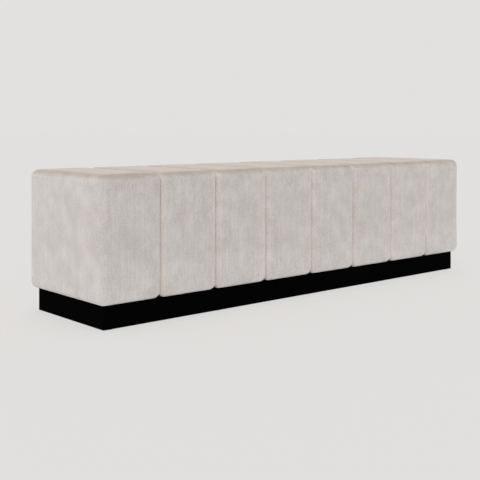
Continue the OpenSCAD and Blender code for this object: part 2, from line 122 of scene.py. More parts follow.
class OttomanUpholstery(PropertyGroup):
    """Sizes of the covers, the foam and what is sewn or stapled to them."""

    edge_radius: FloatProperty(
        name="Edge radius", description="Radius of the body's rounded edges",
        default=0.025, min=0.01, max=0.04, unit="LENGTH")
    crown: FloatProperty(
        name="Crown", description="How far a panel's middle stands out",
        default=0.002, min=0.0, max=0.01, unit="LENGTH")
    seam_half_width: FloatProperty(
        name="Half valley", description="Half of the width of the valley at a seam",
        default=0.0225, min=0.01, max=0.024, unit="LENGTH")
    roll_radius: FloatProperty(
        name="Roll radius", description="Radius of the roll beside a seam",
        default=0.024, min=0.02, max=0.04, unit="LENGTH")
    seam_allowance: FloatProperty(
        name="Seam allowance", description="Width of the cover that is turned in below a valley",
        default=0.011, min=0.005, max=0.015, unit="LENGTH")
    cover_thickness: FloatProperty(
        name="Cover thickness", description="Thickness of the fabric with its backing",
        default=0.002, min=0.0005, max=0.004, unit="LENGTH")
    turn_under: FloatProperty(
        name="Turn-under", description="How far the cover is turned in under the carcass",
        default=0.028, min=0.01, max=0.04, unit="LENGTH")
    soft_gap: FloatProperty(
        name="Foam gap", description="Gap between the foam and its cover",
        default=0.0003, min=0.0, max=0.002, unit="LENGTH")
    strip_cover: FloatProperty(
        name="Strip cover", description="How far below the valley a pull strip's outer edge is sewn in",
        default=0.003, min=0.0, max=0.006, unit="LENGTH")
    strip_thickness: FloatProperty(
        name="Strip thickness", description="Thickness of a pull strip",
        default=0.0015, min=0.0005, max=0.003, unit="LENGTH")
    strip_foot: FloatProperty(
        name="Strip foot", description="Width of a pull strip's foot on the carcass",
        default=0.014, min=0.008, max=0.03, unit="LENGTH")
    cut_share: FloatProperty(
        name="Cut share",
        description="Share of the crown that the fabric is cut with, before the stuffing fills it",
        default=0.35, min=0.0, max=1.0)
    swell_limit: FloatProperty(
        name="Swell limit", description="How far the stuffing may push the fabric out",
        default=0.0016, min=0.0, max=0.01, unit="LENGTH")
    dust_cloth: FloatProperty(
        name="Dust cloth", description="Thickness of the cloth of the dust cover",
        default=0.0006, min=0.0002, max=0.001, unit="LENGTH")
    staple_pitch: FloatProperty(
        name="Staple pitch", description="Distance from one staple to the next along a hem",
        default=0.044, min=0.02, max=0.1, unit="LENGTH")
    staple_crown: FloatProperty(
        name="Staple crown", description="Width of a staple",
        default=0.010, min=0.005, max=0.02, unit="LENGTH")
    staple_wire: FloatProperty(
        name="Staple wire", description="Thickness of a staple's flat wire, which is twice as wide",
        default=0.0006, min=0.0003, max=0.001, unit="LENGTH")
    staple_leg: FloatProperty(
        name="Staple leg", description="Length of a staple's legs above the cloth",
        default=0.0018, min=0.001, max=0.01, unit="LENGTH")


class OttomanFinish(PropertyGroup):
    """Colours of the fabric, the wood, the paint and what lies inside."""

    pile_colour: FloatVectorProperty(
        name="Pile", description="Colour of the fabric's pile", subtype="COLOR",
        size=3, default=(0.762, 0.713, 0.6845), min=0.0, max=1.0)
    shade_colour: FloatVectorProperty(
        name="Shade", description="Colour where the pile is turned away", subtype="COLOR",
        size=3, default=(0.597, 0.548, 0.499), min=0.0, max=1.0)
    # Painted shade: a warmer, darker tint where the fabric faces up, standing in for how light falls on the
    # top.
    painted_top_shade_tint: FloatVectorProperty(
        name="Warm tint", description="Tint where the pile opens over the top",
        subtype="COLOR", size=3, default=(0.655, 0.580, 0.520), min=0.0, max=1.0)
    # Painted shade: a darker band along the upper rounded edges, standing in for the shade that falls on
    # them.
    painted_edge_shade_tint: FloatVectorProperty(
        name="Edge tint",
        description="Tint of the band along the upper edges, where the pile is brushed over",
        subtype="COLOR", size=3, default=(0.89, 0.875, 0.87), min=0.0, max=1.0)
    # Painted light: paler lower edges, standing in for light bounced up from the floor.
    painted_lower_light_tint: FloatVectorProperty(
        name="Lower tint", description="Tint of the lower edges, where the pile lies towards the eye",
        subtype="COLOR", size=3, default=(1.42, 1.44, 1.465), min=0.0, max=2.0)
    # Painted light: paler seam valleys, standing in for light where the rolls would shade them.
    painted_valley_light_tint: FloatVectorProperty(
        name="Valley tint", description="Tint of the clean pile in the seams' valleys",
        subtype="COLOR", size=3, default=(1.22, 1.20, 1.185), min=0.0, max=2.0)
    # Painted shade: the hem turned under the body is near black, standing in for the shade under it and in
    # the notches at the seams.
    painted_underside_shade_colour: FloatVectorProperty(
        name="Lining", description="Colour of the hem that is turned under the body", subtype="COLOR",
        size=3, default=(0.004, 0.004, 0.004), min=0.0, max=1.0)
    paint_colour: FloatVectorProperty(
        name="Plinth paint", description="Colour of the plinth", subtype="COLOR",
        size=3, default=(0.0012, 0.0012, 0.0012), min=0.0, max=1.0)
    ply_colour: FloatVectorProperty(
        name="Plywood", description="Colour of the birch plywood", subtype="COLOR",
        size=3, default=(0.62, 0.43, 0.24), min=0.0, max=1.0)
    glue_colour: FloatVectorProperty(
        name="Plies", description="Colour of the darker plies", subtype="COLOR",
        size=3, default=(0.30, 0.18, 0.09), min=0.0, max=1.0)
    ply_pitch: FloatProperty(
        name="Ply pitch", description="Thickness of two plies",
        default=0.003, min=0.001, max=0.01, unit="LENGTH")
    timber_colour: FloatVectorProperty(
        name="Softwood", description="Colour of the rails, posts and blocks", subtype="COLOR",
        size=3, default=(0.70, 0.50, 0.28), min=0.0, max=1.0)
    dowel_colour: FloatVectorProperty(
        name="Dowels", description="Colour of the beech dowels", subtype="COLOR",
        size=3, default=(0.72, 0.50, 0.33), min=0.0, max=1.0)
    foam_colour: FloatVectorProperty(
        name="Foam", description="Colour of the foam", subtype="COLOR",
        size=3, default=(0.83, 0.76, 0.53), min=0.0, max=1.0)
    tape_colour: FloatVectorProperty(
        name="Tape", description="Colour of the pull strips", subtype="COLOR",
        size=3, default=(0.72, 0.69, 0.62), min=0.0, max=1.0)
    dust_colour: FloatVectorProperty(
        name="Dust cover", description="Colour of the dust cover", subtype="COLOR",
        size=3, default=(0.012, 0.012, 0.014), min=0.0, max=1.0)
    steel_colour: FloatVectorProperty(
        name="Steel", description="Colour of the screws, bolts and staples", subtype="COLOR",
        size=3, default=(0.62, 0.63, 0.65), min=0.0, max=1.0)
    glide_colour: FloatVectorProperty(
        name="Glides", description="Colour of the floor glides", subtype="COLOR",
        size=3, default=(0.80, 0.80, 0.77), min=0.0, max=1.0)


class OttomanStudio(PropertyGroup):
    """Camera, lamps and floor."""

    lens: FloatProperty(
        name="Lens", description="Focal length for a film 36 mm wide", default=65.62, min=10, max=300)
    camera_place: FloatVectorProperty(
        name="Camera place", description="Where the camera stands", subtype="XYZ",
        size=3, default=(-2.239, -2.391, 0.602), unit="LENGTH")
    camera_heading: FloatProperty(
        name="Camera heading", description="Turn of the level camera about the vertical",
        default=math.radians(-41.09), subtype="ANGLE")
    camera_shift: FloatProperty(
        name="Camera shift", description="Vertical shift of the film", default=-0.23775)
    sky: FloatProperty(
        name="Sky light", description="Strength of the even light from all round", default=0.80, min=0)
    front: FloatProperty(
        name="Front light", description="Light that the front sun lends a surface that faces it",
        default=0.16, min=0)
    front_from: FloatVectorProperty(
        name="Front from", description="Direction in which the front sun stands", subtype="XYZ",
        size=3, default=(-0.80, -0.40, 0.45))
    rear: FloatProperty(
        name="Rear light", description="Light that the rear sun lends a surface that faces it",
        default=0.12, min=0)
    rear_from: FloatVectorProperty(
        name="Rear from", description="Direction in which the rear sun stands", subtype="XYZ",
        size=3, default=(0.60, 0.70, 0.35))
    above: FloatProperty(
        name="Top light", description="Light that the top sun lends a surface that faces it",
        default=0.05, min=0)
    backdrop_colour: FloatVectorProperty(
        name="Backdrop", description="Colour of the floor and of what lies behind it",
        subtype="COLOR", size=3, default=(0.768, 0.751, 0.737), min=0.0, max=1.0)
    shadow_share: FloatProperty(
        name="Shadow share", description="Share of the floor's look that takes the shadow",
        default=0.22, min=0, max=1)
    floor_radius: FloatProperty(
        name="Floor radius", description="Radius of the floor", default=60.0, min=1, unit="LENGTH")


class Sizes:
    """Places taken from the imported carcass, and the sizes that the panel gives, in metres."""

    def __init__(self, settings):
        _, deck_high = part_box("deck_panel")
        cover_low, cover_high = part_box("cover_2")
        strips = [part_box(name) for name in sorted(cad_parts) if name.startswith("pull_strip_")]
        self.strip_half = settings.strip_thickness / 2
        self.seams = [low.x + self.strip_half for low, _ in strips]
        self.pitch = self.seams[1] - self.seams[0]
        self.left = self.seams[0] - self.pitch
        self.cut_crown = settings.crown * settings.cut_share
        self.depth = cover_high.y - cover_low.y - 2 * settings.crown
        self.floor = cover_low.z
        self.top = cover_high.z - settings.crown
        self.middle_z = (self.floor + self.top) / 2
        self.core_x, self.core_y, self.deck_z = deck_high
        self.core_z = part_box("front_panel")[0].z
        self.edge = settings.edge_radius
        self.half_valley = settings.seam_half_width
        self.roll = settings.roll_radius
        self.allowance = settings.seam_allowance
        self.cover = settings.cover_thickness
        self.hem_x = self.core_x - settings.turn_under
        self.hem_y = self.core_y - settings.turn_under
        self.gap = settings.soft_gap
        self.roll_end = math.asin(min(1, (self.half_valley - self.strip_half) / self.roll))
        self.valley = self.roll * (1 - math.cos(self.roll_end))
        self.strip_inset = self.valley + settings.strip_cover


def smooth(t):
    """Share that leaves 0 and reaches 1 without a kink: three squares less two cubes."""
    t = np.clip(t, 0, 1)
    return t * t * (3 - 2 * t)


def steps(count):
    """Shares from 0 up to, but without, 1."""
    return np.arange(count) / count


def both_sides(y, z, closed=False):
    """A half line and its mirror image, as one line from side to side or as a closed ring."""
    back = slice(-2, 0, -1) if closed else slice(-2, None, -1)
    return np.concatenate([y, -y[:, back]], 1), np.concatenate([z, z[:, back]], 1)


def section_corners(size, inset):
    """Radius of the section's corners at each inset, and the y and both heights of their centres."""
    radius = np.maximum(size.edge - inset, LEAST_RADIUS)
    return radius, size.depth / 2 - inset - radius, size.floor + inset + radius, size.top - inset - radius


def half_section(size, inset, rise, crown):
    """Half of the body's section at each place along it, from the underside's middle to the top's.

    The underside is level and lies the rise above the floor of the body. Outside the carcass it climbs
    to the inset over a heel, whose y is a cubic curve and whose height a smooth step. Quarter circles
    about fixed centres, with the edge radius less the inset, join it to the front and the front to the
    top. Front and top stand out by the crown times the square of one less the square of the share of the
    way from their middle."""
    inset, rise, crown = (np.asarray(values, float)[:, None] for values in (inset, rise, crown))
    radius, corner_y, low, high = section_corners(size, inset)
    under = size.floor + rise
    heel_y = size.core_y - HEEL_START

    def level(y):
        return np.broadcast_to(y, (len(inset), len(y))), np.broadcast_to(under, (len(inset), len(y)))

    t = steps(HEEL_ROWS)
    bend = 3 * t * (1 - t) * (size.core_y + HEEL_BEND)
    turn = np.pi / 2 * steps(CORNER_ROWS)
    up = steps(FRONT_ROWS)
    back = np.linspace(1, 0, TOP_ROWS)
    parts = [
        level(size.hem_y * steps(UNDER_ROWS)),
        level(size.hem_y + (heel_y - size.hem_y) * steps(HEM_ROWS)),
        ((1 - t) ** 3 * heel_y + bend + t**3 * corner_y, under + (low - radius - under) * smooth(t)),
        (corner_y + radius * np.sin(turn), low - radius * np.cos(turn)),
        (corner_y + radius + crown * (1 - (2 * up - 1) ** 2) ** 2, low + (high - low) * up),
        (corner_y + radius * np.cos(turn), high + radius * np.sin(turn)),
        (corner_y * back, high + radius + crown * (1 - back**2) ** 2),
    ]
    return tuple(np.concatenate(values, 1) for values in zip(*parts))


def rings(size, x, inset, rise, crown, share=None):
    """Closed rings of the body, one for each x. A share draws them in towards the middle of the section."""
    y, z = both_sides(*half_section(size, inset, rise, crown), closed=True)
    if share is not None:
        y, z = y * share[:, None], size.middle_z + (z - size.middle_z) * share[:, None]
    return np.stack([np.broadcast_to(x[:, None], y.shape), y, z], -1)


def crown_over(size, x, low, high):
    """Crown at each x: the cut one times the square of one less the square of the way from the middle."""
    share = np.clip((2 * x - low - high) / (high - low), -1, 1)
    return size.cut_crown * (1 - share**2) ** 2


def seam_side(size):
    """Distance, inset and valley share of a cover's columns beside a seam, from its edge over the roll.

    Over the roll the distance is the half valley less the radius times the sine of the turn, and the
    inset the radius times one less its cosine. Inside the valley the allowance goes straight in."""
    share = np.linspace(1, 0, ROLL_COLUMNS)
    away = size.half_valley - size.roll * np.sin(size.roll_end * share)
    inset = size.roll * (1 - np.cos(size.roll_end * share))
    tuck = np.linspace(1, 0, TUCK_COLUMNS + 1)[:-1]
    return (
        np.concatenate([0 * tuck + away[0], away]),
        np.concatenate([size.valley + size.allowance * tuck, inset]),
        np.concatenate([0 * tuck + 1, share]))


def middle_channel(size, low, high):
    """Grid of a channel between two seams, with the valley share of each column."""
    away, inset, fold = seam_side(size)
    flat = np.linspace(low + size.half_valley, high - size.half_valley, PANEL_COLUMNS + 2)[1:-1]
    x = np.concatenate([low + away, flat, (high - away)[::-1]])
    inset = np.concatenate([inset, 0 * flat, inset[::-1]])
    fold = np.concatenate([fold, 0 * flat, fold[::-1]])
    return rings(size, x, inset, 0 * x, crown_over(size, x, low, high)), fold


def end_channel(size, low, high):
    """Grid and valley shares of the left end's channel, from the end face's middle to the first seam.

    The end face is its outline drawn to the middle in steps, and stands out by its own crown. The edge
    turns a quarter circle, with x the radius times one less the sine of the turn, as the inset is with
    its cosine. The panel has a column where the hem of the end turns under."""
    share = np.linspace(0, 1, FACE_RINGS + 2)[1:-1] ** 0.9
    face_x = low - size.cut_crown * (1 - share**2) ** 2
    turn = np.pi / 2 * np.linspace(1, 0, END_COLUMNS)
    edge_x, edge_in = low + size.edge * (1 - np.sin(turn)), size.edge * (1 - np.cos(turn))
    flat = np.concatenate([
        np.linspace(low + size.edge, -size.hem_x, HEM_COLUMNS + 1)[1:],
        np.linspace(-size.hem_x, high - size.half_valley, PANEL_COLUMNS - 1)[1:-1]])
    away, seam_in, seam_fold = (values[::-1] for values in seam_side(size))
    x = np.concatenate([face_x, edge_x, flat, high - away])
    inset = np.concatenate([0 * share + size.edge, edge_in, 0 * flat, seam_in])
    rise = np.concatenate([0 * share + size.edge, edge_in, 0 * flat, 0 * away])
    drawn = np.concatenate([share, np.ones(len(x) - len(share))])
    fold = np.concatenate([np.zeros(len(x) - len(away)), seam_fold])
    crown = crown_over(size, x, low - size.edge, high) * (drawn == 1)
    return rings(size, x, inset, rise, crown, drawn), fold


def grid_quads(columns, rows, closed=True):
    """Quads of a grid whose columns are closed rings or open lines.

    They face outwards where x grows with the columns and the rings run from below up over the back."""
    u, v = np.meshgrid(np.arange(columns - 1), np.arange(rows if closed else rows - 1), indexing="ij")
    here, there, after = u * rows, (u + 1) * rows, (v + 1) % rows
    return np.stack([here + v, here + after, there + after, there + v], -1).reshape(-1, 4)


def capped(points, quads, rows, both=False):
    """The grid with its first ring, or both end rings, closed by triangles to a tip in the middle.

    A triangle is a quad whose last corner stands twice."""
    tips, faces = [], [quads]
    for first in (0, len(points) - rows) if both else (0,):
        ring = first + np.arange(rows)
        after = np.roll(ring, -1)
        tip = np.full(rows, len(points) + len(tips))
        faces.append(np.stack([tip, ring, after, after] if first else [tip, after, ring, ring], 1))
        tips.append(points[ring].mean(0))
    return np.vstack([points, *tips]), np.vstack(faces)


def mirrored(points, quads):
    """The mirror image for the other end, with its faces turned so that they still point outwards."""
    return points * (-1, 1, 1), quads[:, ::-1]


def joined(points, quads):
    """The quads with corners in one place made one. A quad left with fewer than three corners goes."""
    _, first, place = np.unique(np.round(points, 6), axis=0, return_index=True, return_inverse=True)
    quads = first[place.ravel()][quads]
    return quads[(quads != np.roll(quads, -1, 1)).sum(1) > 2]


def vertex_normals(points, quads):
    """Unit normals at the points: the sum of the cross products of the diagonals of the quads round
    each."""
    cross = np.cross(points[quads[:, 2]] - points[quads[:, 0]], points[quads[:, 3]] - points[quads[:, 1]])
    total = np.zeros_like(points)
    for corner in range(4):
        np.add.at(total, quads[:, corner], cross)
    return total / np.maximum(np.linalg.norm(total, axis=1, keepdims=True), 1e-12)


def open_edges(quads):
    """Directed edges that no other quad runs back along. A corner that stands twice has no edge."""
    start, end = quads.ravel(), np.roll(quads, -1, 1).ravel()
    start, end = start[start != end], end[start != end]
    span = int(quads.max()) + 1
    lone = ~np.isin(start * span + end, end * span + start)
    return np.stack([start[lone], end[lone]], 1)


def shell(points, quads, thickness):
    """Closed skin: the sheet, a copy moved in by the thickness along the normals, and rims between them."""
    inner = points - vertex_normals(points, quads) * thickness
    count = len(points)
    start, end = open_edges(quads).T
    rim = np.stack([end, start, start + count, end + count], 1)
    return np.concatenate([points, inner]), np.concatenate([quads, quads[:, ::-1] + count, rim])


def mesh_piece(name, points, quads, marks=None, smooth_faces=True):
    """Object with a mesh of quads. Corners that agree with the next go, and so do points without a face."""
    used = np.unique(quads)
    place = np.zeros(len(points), int)
    place[used] = np.arange(len(used))
    points, quads = points[used], place[quads]
    keep = quads != np.roll(quads, -1, 1)
    sizes = keep.sum(1)
    mesh = bpy.data.meshes.new(name)
    mesh.vertices.add(len(points))
    mesh.vertices.foreach_set("co", points.astype(np.float32).ravel())
    mesh.loops.add(int(sizes.sum()))
    mesh.loops.foreach_set("vertex_index", quads[keep].astype(np.int32))
    mesh.polygons.add(len(quads))
    mesh.polygons.foreach_set("loop_start", np.concatenate([[0], np.cumsum(sizes)[:-1]]).astype(np.int32))
    mesh.update(calc_edges=True)
    mesh.validate()
    mesh.polygons.foreach_set("use_smooth", np.full(len(mesh.polygons), smooth_faces))
    for label, values in (marks or {}).items():
        mark = mesh.attributes.new(label, "FLOAT", "POINT")
        mark.data.foreach_set("value", values[used].astype(np.float32))
    piece = bpy.data.objects.new(name, mesh)
    bpy.context.scene.collection.objects.link(piece)
    return piece


def swelled(points, quads, free, limit):
    """The points after a cloth simulation that blows the fabric up from inside, as stuffing does.

    The free share of a point says how far it may follow, and quads without a free point stay out. A
    point's way is shortened to the limit times the hyperbolic tangent of the way over the limit, so that
    none goes further."""
    moving = quads[(free[quads] > 0).any(1)]
    used = np.unique(moving)
    probe = mesh_piece("fabric_probe", points, moving)
    pins = probe.vertex_groups.new(name="pins")
    held = np.round(1 - free[used], 2)
    for share in np.unique(held[held > 0]):
        pins.add([int(index) for index in np.flatnonzero(held == share)], float(share), "REPLACE")
    cloth = probe.modifiers.new("Cloth", "CLOTH")
    for label, value in CLOTH.items():
        setattr(cloth.settings, label, value)
    cloth.settings.vertex_group_mass = pins.name
    cloth.settings.effector_weights.gravity = 0
    cloth.collision_settings.use_collision = False
    scene = bpy.context.scene
    for number in range(CLOTH_STEPS):
        scene.frame_set(number + 1)
    solved = probe.evaluated_get(bpy.context.evaluated_depsgraph_get())
    places = np.empty(len(used) * 3, np.float32)
    solved.data.vertices.foreach_get("co", places)
    scene.frame_set(1)
    bpy.data.objects.remove(probe)
    way = places.reshape(-1, 3).astype(float) - points[used]
    length = np.maximum(np.linalg.norm(way, axis=1, keepdims=True), 1e-9)
    result = points.copy()
    result[used] += way / length * limit * np.tanh(length / limit) * free[used, None]
    return result


def free_share(size, grid, fold):
    """How freely each point of a channel follows the stuffing: fully on the panels, not in seams and below.

    It is a smooth step of the height over two edge radii, from 0.3 of one above the body's floor,
    times one less a smooth step of the valley share, which is full at 0.8."""
    above = smooth((grid[..., 2] - size.floor - 0.3 * size.edge) / (2 * size.edge))
    return (above * (1 - smooth(fold / 0.8))[:, None]).ravel()


def nap_marks(size, points, quads, fold, underside_shaded):
    """Marks of the fabric: how far it faces up and endwise, and the masks for its painted shade and light: a
    painted shade band along the upper edges, painted light on its lower part and in its valleys, and a hem
    painted near black as shade under the body.

    How far it faces up is a smooth step of the upright part of its normal, which starts a little lower
    on the front and the back than on the ends. The band is a smooth step of the slope towards the top,
    or on the front and the back one of the height, and ends where the fabric lies level. The lower part
    is a smooth step of the height and one of how far the fabric faces down. Both are weaker on the ends."""
    normals = vertex_normals(points, quads)
    upright = normals[:, 2]
    height = (points[:, 2] - size.floor) / (size.top - size.floor)
    facing = np.abs(normals[:, 1]) / np.maximum(np.hypot(normals[:, 0], normals[:, 1]), SAME_PLACE)
    start = 0.25 - 0.13 * facing
    # Mask of the painted shade band: by the slope towards the top, or on the front and the back by the
    # height.
    sloped = 0.65 * smooth((upright - 0.5) / 0.4) * (0.25 + 0.75 * facing)
    below = 0.35 * smooth((height - 0.78) / 0.12) * facing
    # Mask of painted light on the lower part and on the edges that face down.
    lower = 0.2 * smooth((0.42 - height) / 0.3) + 0.8 * smooth(-upright / 0.9)
    return {
        "upward": smooth((upright - start) / (0.97 - start)),
        "endwise": smooth(np.abs(normals[:, 0])),
        "band": np.maximum(sloped, below) * (1 - smooth((upright - 0.965) / 0.035)),
        "lower": lower * (0.4 + 0.6 * facing),
        # Painted light in the valleys, by the square of the valley share.
        "valley": fold**2,
        # Painted shade on the hem under the body.
        "lining": underside_shaded,
    }


def calmed(start, points, rows):
    """The points of an end face without the creases that its pole and its corners bring.

    The way that a point has moved is evened out along its ring by repeated means of neighbours. The
    innermost rings then move more and more by the mean way of the ring round them."""
    count = FACE_RINGS * rows
    way = (points - start)[:count].reshape(FACE_RINGS, rows, 3)
    for _ in range(CALM_PASSES):
        way = (np.roll(way, 1, 1) + 2 * way + np.roll(way, -1, 1)) / 4
    mean = way[CALM_RINGS].mean(0)
    way[:CALM_RINGS] = mean + (way[:CALM_RINGS] - mean) * smooth(steps(CALM_RINGS))[:, None, None]
    result = points.copy()
    result[:count] = start[:count] + way.reshape(-1, 3)
    result[-1] = start[-1] + mean
    return result


def channel_skin(size, grid, fold, hole_x, limit):
    """Points, quads and marks of a channel's cover, with its hems and its allowances turned in.

    The underside has a hole between the hems, from the x of the hole on. A grid that doesn't start in a
    valley is an end's, and is closed in the middle of its end face."""
    columns, rows = grid.shape[:2]
    points, quads = grid.reshape(-1, 3), grid_quads(columns, rows)
    free, folds = free_share(size, grid, fold), np.repeat(fold, rows)
    # Points of the underside and heel, where the hem is painted near black as shade.
    underside_shaded = (
        (np.abs(points[:, 1]) < size.depth / 2 - size.edge + SAME_PLACE)
        & (points[:, 2] < size.floor + size.edge)
        & (points[:, 0] > size.left + size.edge - SAME_PLACE)).astype(float)
    at_end = fold[0] == 0
    if at_end:
        points, quads = capped(points, quads, rows)
        free, folds, underside_shaded = np.append(free, 1.0), np.append(folds, 0.0), np.append(underside_shaded, 0.0)
    quads = joined(points, quads)
    middle = points[quads].mean(1)
    under = middle[:, 2] < size.floor + UNDERSIDE
    quads = quads[~(under & (np.abs(middle[:, 1]) < size.hem_y) & (middle[:, 0] > hole_x))]
    start, points = points, swelled(points, quads, free, limit)
    if at_end:
        points = calmed(start, points, rows)
    marks = nap_marks(size, points, quads, folds, underside_shaded)
    points, quads = shell(points, quads, size.cover)
    return points, quads, {label: np.tile(values, 2) for label, values in marks.items()}


def foam_path(size, inset):
    """Outer line of the foam at each inset, from the back's lower edge over the top to the front's.

    It follows the body's section at that inset. The corners are quarter circles, as in the cover."""
    inset = inset[:, None]
    radius, corner_y, low, high = section_corners(size, inset)
    turn = np.pi / 2 * np.linspace(0, 1, 7)
    back = np.linspace(0.8, 0, 5)
    y = np.concatenate([
        size.core_y + 0 * inset, corner_y + radius * np.sin(turn), corner_y + radius * np.cos(turn),
        corner_y * back], 1)
    z = np.concatenate([
        low - radius, low - radius * np.cos(turn), high + radius * np.sin(turn),
        high + radius + 0 * back], 1)
    return both_sides(y, z)


def foam_saddle(size, low, high, low_seam, high_seam):
    """Foam over the back, the seat and the front of one channel, from one end to the other.

    Its outer line lies the cover's thickness and a gap inside the cover. Its inner line is the nearest
    point of the carcass. An end at a seam rolls in as the cover does, and an end at a pad is cut square."""
    shrink = size.cover + size.gap
    radius = size.roll - shrink
    last = math.asin(min(1, (size.half_valley - size.strip_half - shrink) / radius))
    turn = last * np.linspace(1, 0, 8)
    rolled = size.half_valley - radius * np.sin(turn), shrink + radius * (1 - np.cos(turn))
    square = np.zeros(1), np.full(1, shrink)
    low_x, low_in = rolled if low_seam else square
    high_x, high_in = rolled if high_seam else square
    x = np.concatenate([low + low_x, (high - high_x)[::-1]])
    y, z = foam_path(size, np.concatenate([low_in, high_in[::-1]]))
    core_y, core_z = size.core_y + size.gap, size.deck_z + size.gap
    inner_y = np.clip(y, -core_y, core_y)
    inner_z = np.where(np.abs(y) < core_y, core_z, np.minimum(z, core_z))
    inner_z[:, [0, -1]] = z[:, [0, -1]] = size.core_z
    y[:, [0, -1]] = core_y, -core_y
    y, z = np.concatenate([y, inner_y[:, -2:0:-1]], 1), np.concatenate([z, inner_z[:, -2:0:-1]], 1)
    points = np.stack([np.broadcast_to(x[:, None], y.shape), y, z], -1).reshape(-1, 3)
    columns, rows = y.shape
    half = (rows + 2) // 2
    outer = np.arange(half)
    inner = np.concatenate([[0], np.arange(rows - 1, half - 1, -1), [half - 1]])
    cap = np.stack([outer[:-1], inner[:-1], inner[1:], outer[1:]], 1)
    quads = np.concatenate([grid_quads(columns, rows), cap, cap[:, ::-1] + (columns - 1) * rows])
    return points, joined(points, quads)


def end_pad(size):
    """Foam over the left end: the body's rounded end inside the cover, cut off square at the carcass."""
    shrink = size.cover + size.gap
    radius = size.edge - shrink
    turn = np.pi / 2 * np.linspace(1, 0, 8)
    share = np.linspace(0, 1, 6)[1:-1]
    x = np.concatenate([
        0 * share + size.left + shrink, size.left + size.edge - radius * np.sin(turn),
        [-size.core_x - size.gap]])
    inset = np.concatenate([0 * share + size.edge, shrink + radius * (1 - np.cos(turn)), [shrink]])
    drawn = np.concatenate([share, np.ones(len(x) - len(share))])
    grid = rings(size, x, inset, inset, 0 * x, drawn)
    columns, rows = grid.shape[:2]
    return capped(grid.reshape(-1, 3), grid_quads(columns, rows), rows, both=True)


def pull_strip(size, seam, foot, thickness):
    """Strip sewn into a seam: a web in the valley and a foot on the carcass, folded from one sheet.

    The web's outer edge is the body's outline moved in by the strip's inset, so its rounded corners
    follow the valley. Its inner edge is the carcass's outline moved out by the thickness, and the lines
    between them share the way evenly. The foot runs on from the inner edge along the seam's channel."""
    radius = max(size.edge - size.strip_inset, 2 * LEAST_RADIUS)
    out_y, out_z = size.depth / 2 - size.strip_inset, size.top - size.strip_inset
    low = size.floor + size.strip_inset
    turn = np.pi / 2 * np.linspace(0, 1, 7)
    rise = np.linspace(low + radius, size.deck_z, 14)
    climb = np.linspace(size.deck_z, out_z - radius, 4)[1:-1]
    back = np.linspace(0.9, 0, 8)
    outer_y = np.concatenate([
        [size.core_y + thickness], out_y - radius + radius * np.sin(turn), 0 * rise[1:] + out_y,
        0 * climb + out_y, out_y - radius + radius * np.cos(turn), [size.core_y], size.core_y * back])
    outer_z = np.concatenate([
        [low], low + radius - radius * np.cos(turn), rise[1:], climb,
        out_z - radius + radius * np.sin(turn), [out_z], 0 * back + out_z])
    count = len(turn) + len(rise)
    bend = np.pi / 2 * np.linspace(0, 1, len(climb) + len(turn) + 2)[1:-1]
    inner_y = np.concatenate([
        np.full(count, size.core_y + thickness), size.core_y + thickness * np.cos(bend), [size.core_y],
        size.core_y * back])
    inner_z = np.concatenate([
        np.clip(outer_z[:count], low, size.deck_z), size.deck_z + thickness * np.sin(bend),
        [size.deck_z + thickness], 0 * back + size.deck_z + thickness])
    share = np.concatenate([np.linspace(0, 1, 4), [1, 1]])[:, None]
    across = np.array([0, 0, 0, 0, 0.5, 1]) * foot
    y, z = both_sides(outer_y + (inner_y - outer_y) * share, outer_z + (inner_z - outer_z) * share)
    x = np.broadcast_to((seam - thickness / 2 + across)[:, None], y.shape)
    points = np.stack([x, y, z], -1).reshape(-1, 3)
    quads = grid_quads(*y.shape, closed=False)[:, [0, 3, 2, 1]]
    return shell(points, joined(points, quads), thickness)


def dust_sheet(low, high, cloth, pitch):
    """Cloth stretched under the carcass from its low corner to its high one, with its outer side down.

    Its middle rises a little above its border as a smooth step. Between the staples it puckers as a
    cosine of the place along its edge, with a crest at each half pitch, and the puckers fade inwards as
    a smooth step."""
    columns, rows = 169, 33
    x, y = np.meshgrid(
        np.linspace(low.x, high.x, columns), np.linspace(low.y, high.y, rows), indexing="ij")
    off_x, off_y = np.minimum(x - low.x, high.x - x), np.minimum(y - low.y, high.y - y)
    off, along = np.minimum(off_x, off_y), np.where(off_x < off_y, y, x)
    pucker = PUCKER_HEIGHT * np.cos(2 * np.pi * along / pitch) * (1 - smooth(off / PUCKER_REACH))
    z = low.z + PUCKER_HEIGHT + SHEET_RISE * smooth((off - BORDER_WIDTH) / (2 * BORDER_WIDTH)) + pucker
    return shell(np.stack([x, y, z], -1).reshape(-1, 3), grid_quads(columns, rows, closed=False), cloth)


def staples(places, crown, wire, leg):
    """Staples driven upwards, each at a place with a turn about the vertical: a flat wire bent twice.

    The wire's section is a rectangle twice as wide as it is thick. It runs up the first leg, across the
    crown below the cloth and up the second leg, with mitred corners."""
    outer, inner = crown / 2, crown / 2 - wire
    line = [(-outer, leg), (-inner, leg), (-outer, -wire), (-inner, 0),
            (outer, -wire), (inner, 0), (outer, leg), (inner, leg)]
    along, across, up = np.array([(u, side * wire, w) for u, w in line for side in (-1, 1)]).T
    quads = [[0, 2, 3, 1], [12, 13, 15, 14]]
    for start in (0, 4, 8):
        section = [start, start + 1, start + 3, start + 2]
        for a, b in zip(section, section[1:] + section[:1]):
            quads.append([a, b, b + 4, a + 4])
    x, y, z, angle = np.array(places).T[..., None]
    cosine, sine = np.cos(angle), np.sin(angle)
    points = np.stack([x + along * cosine - across * sine, y + along * sine + across * cosine, z + up], -1)
    starts = np.arange(len(places))[:, None, None] * len(up)
    return points.reshape(-1, 3), (np.array(quads) + starts).reshape(-1, 4)


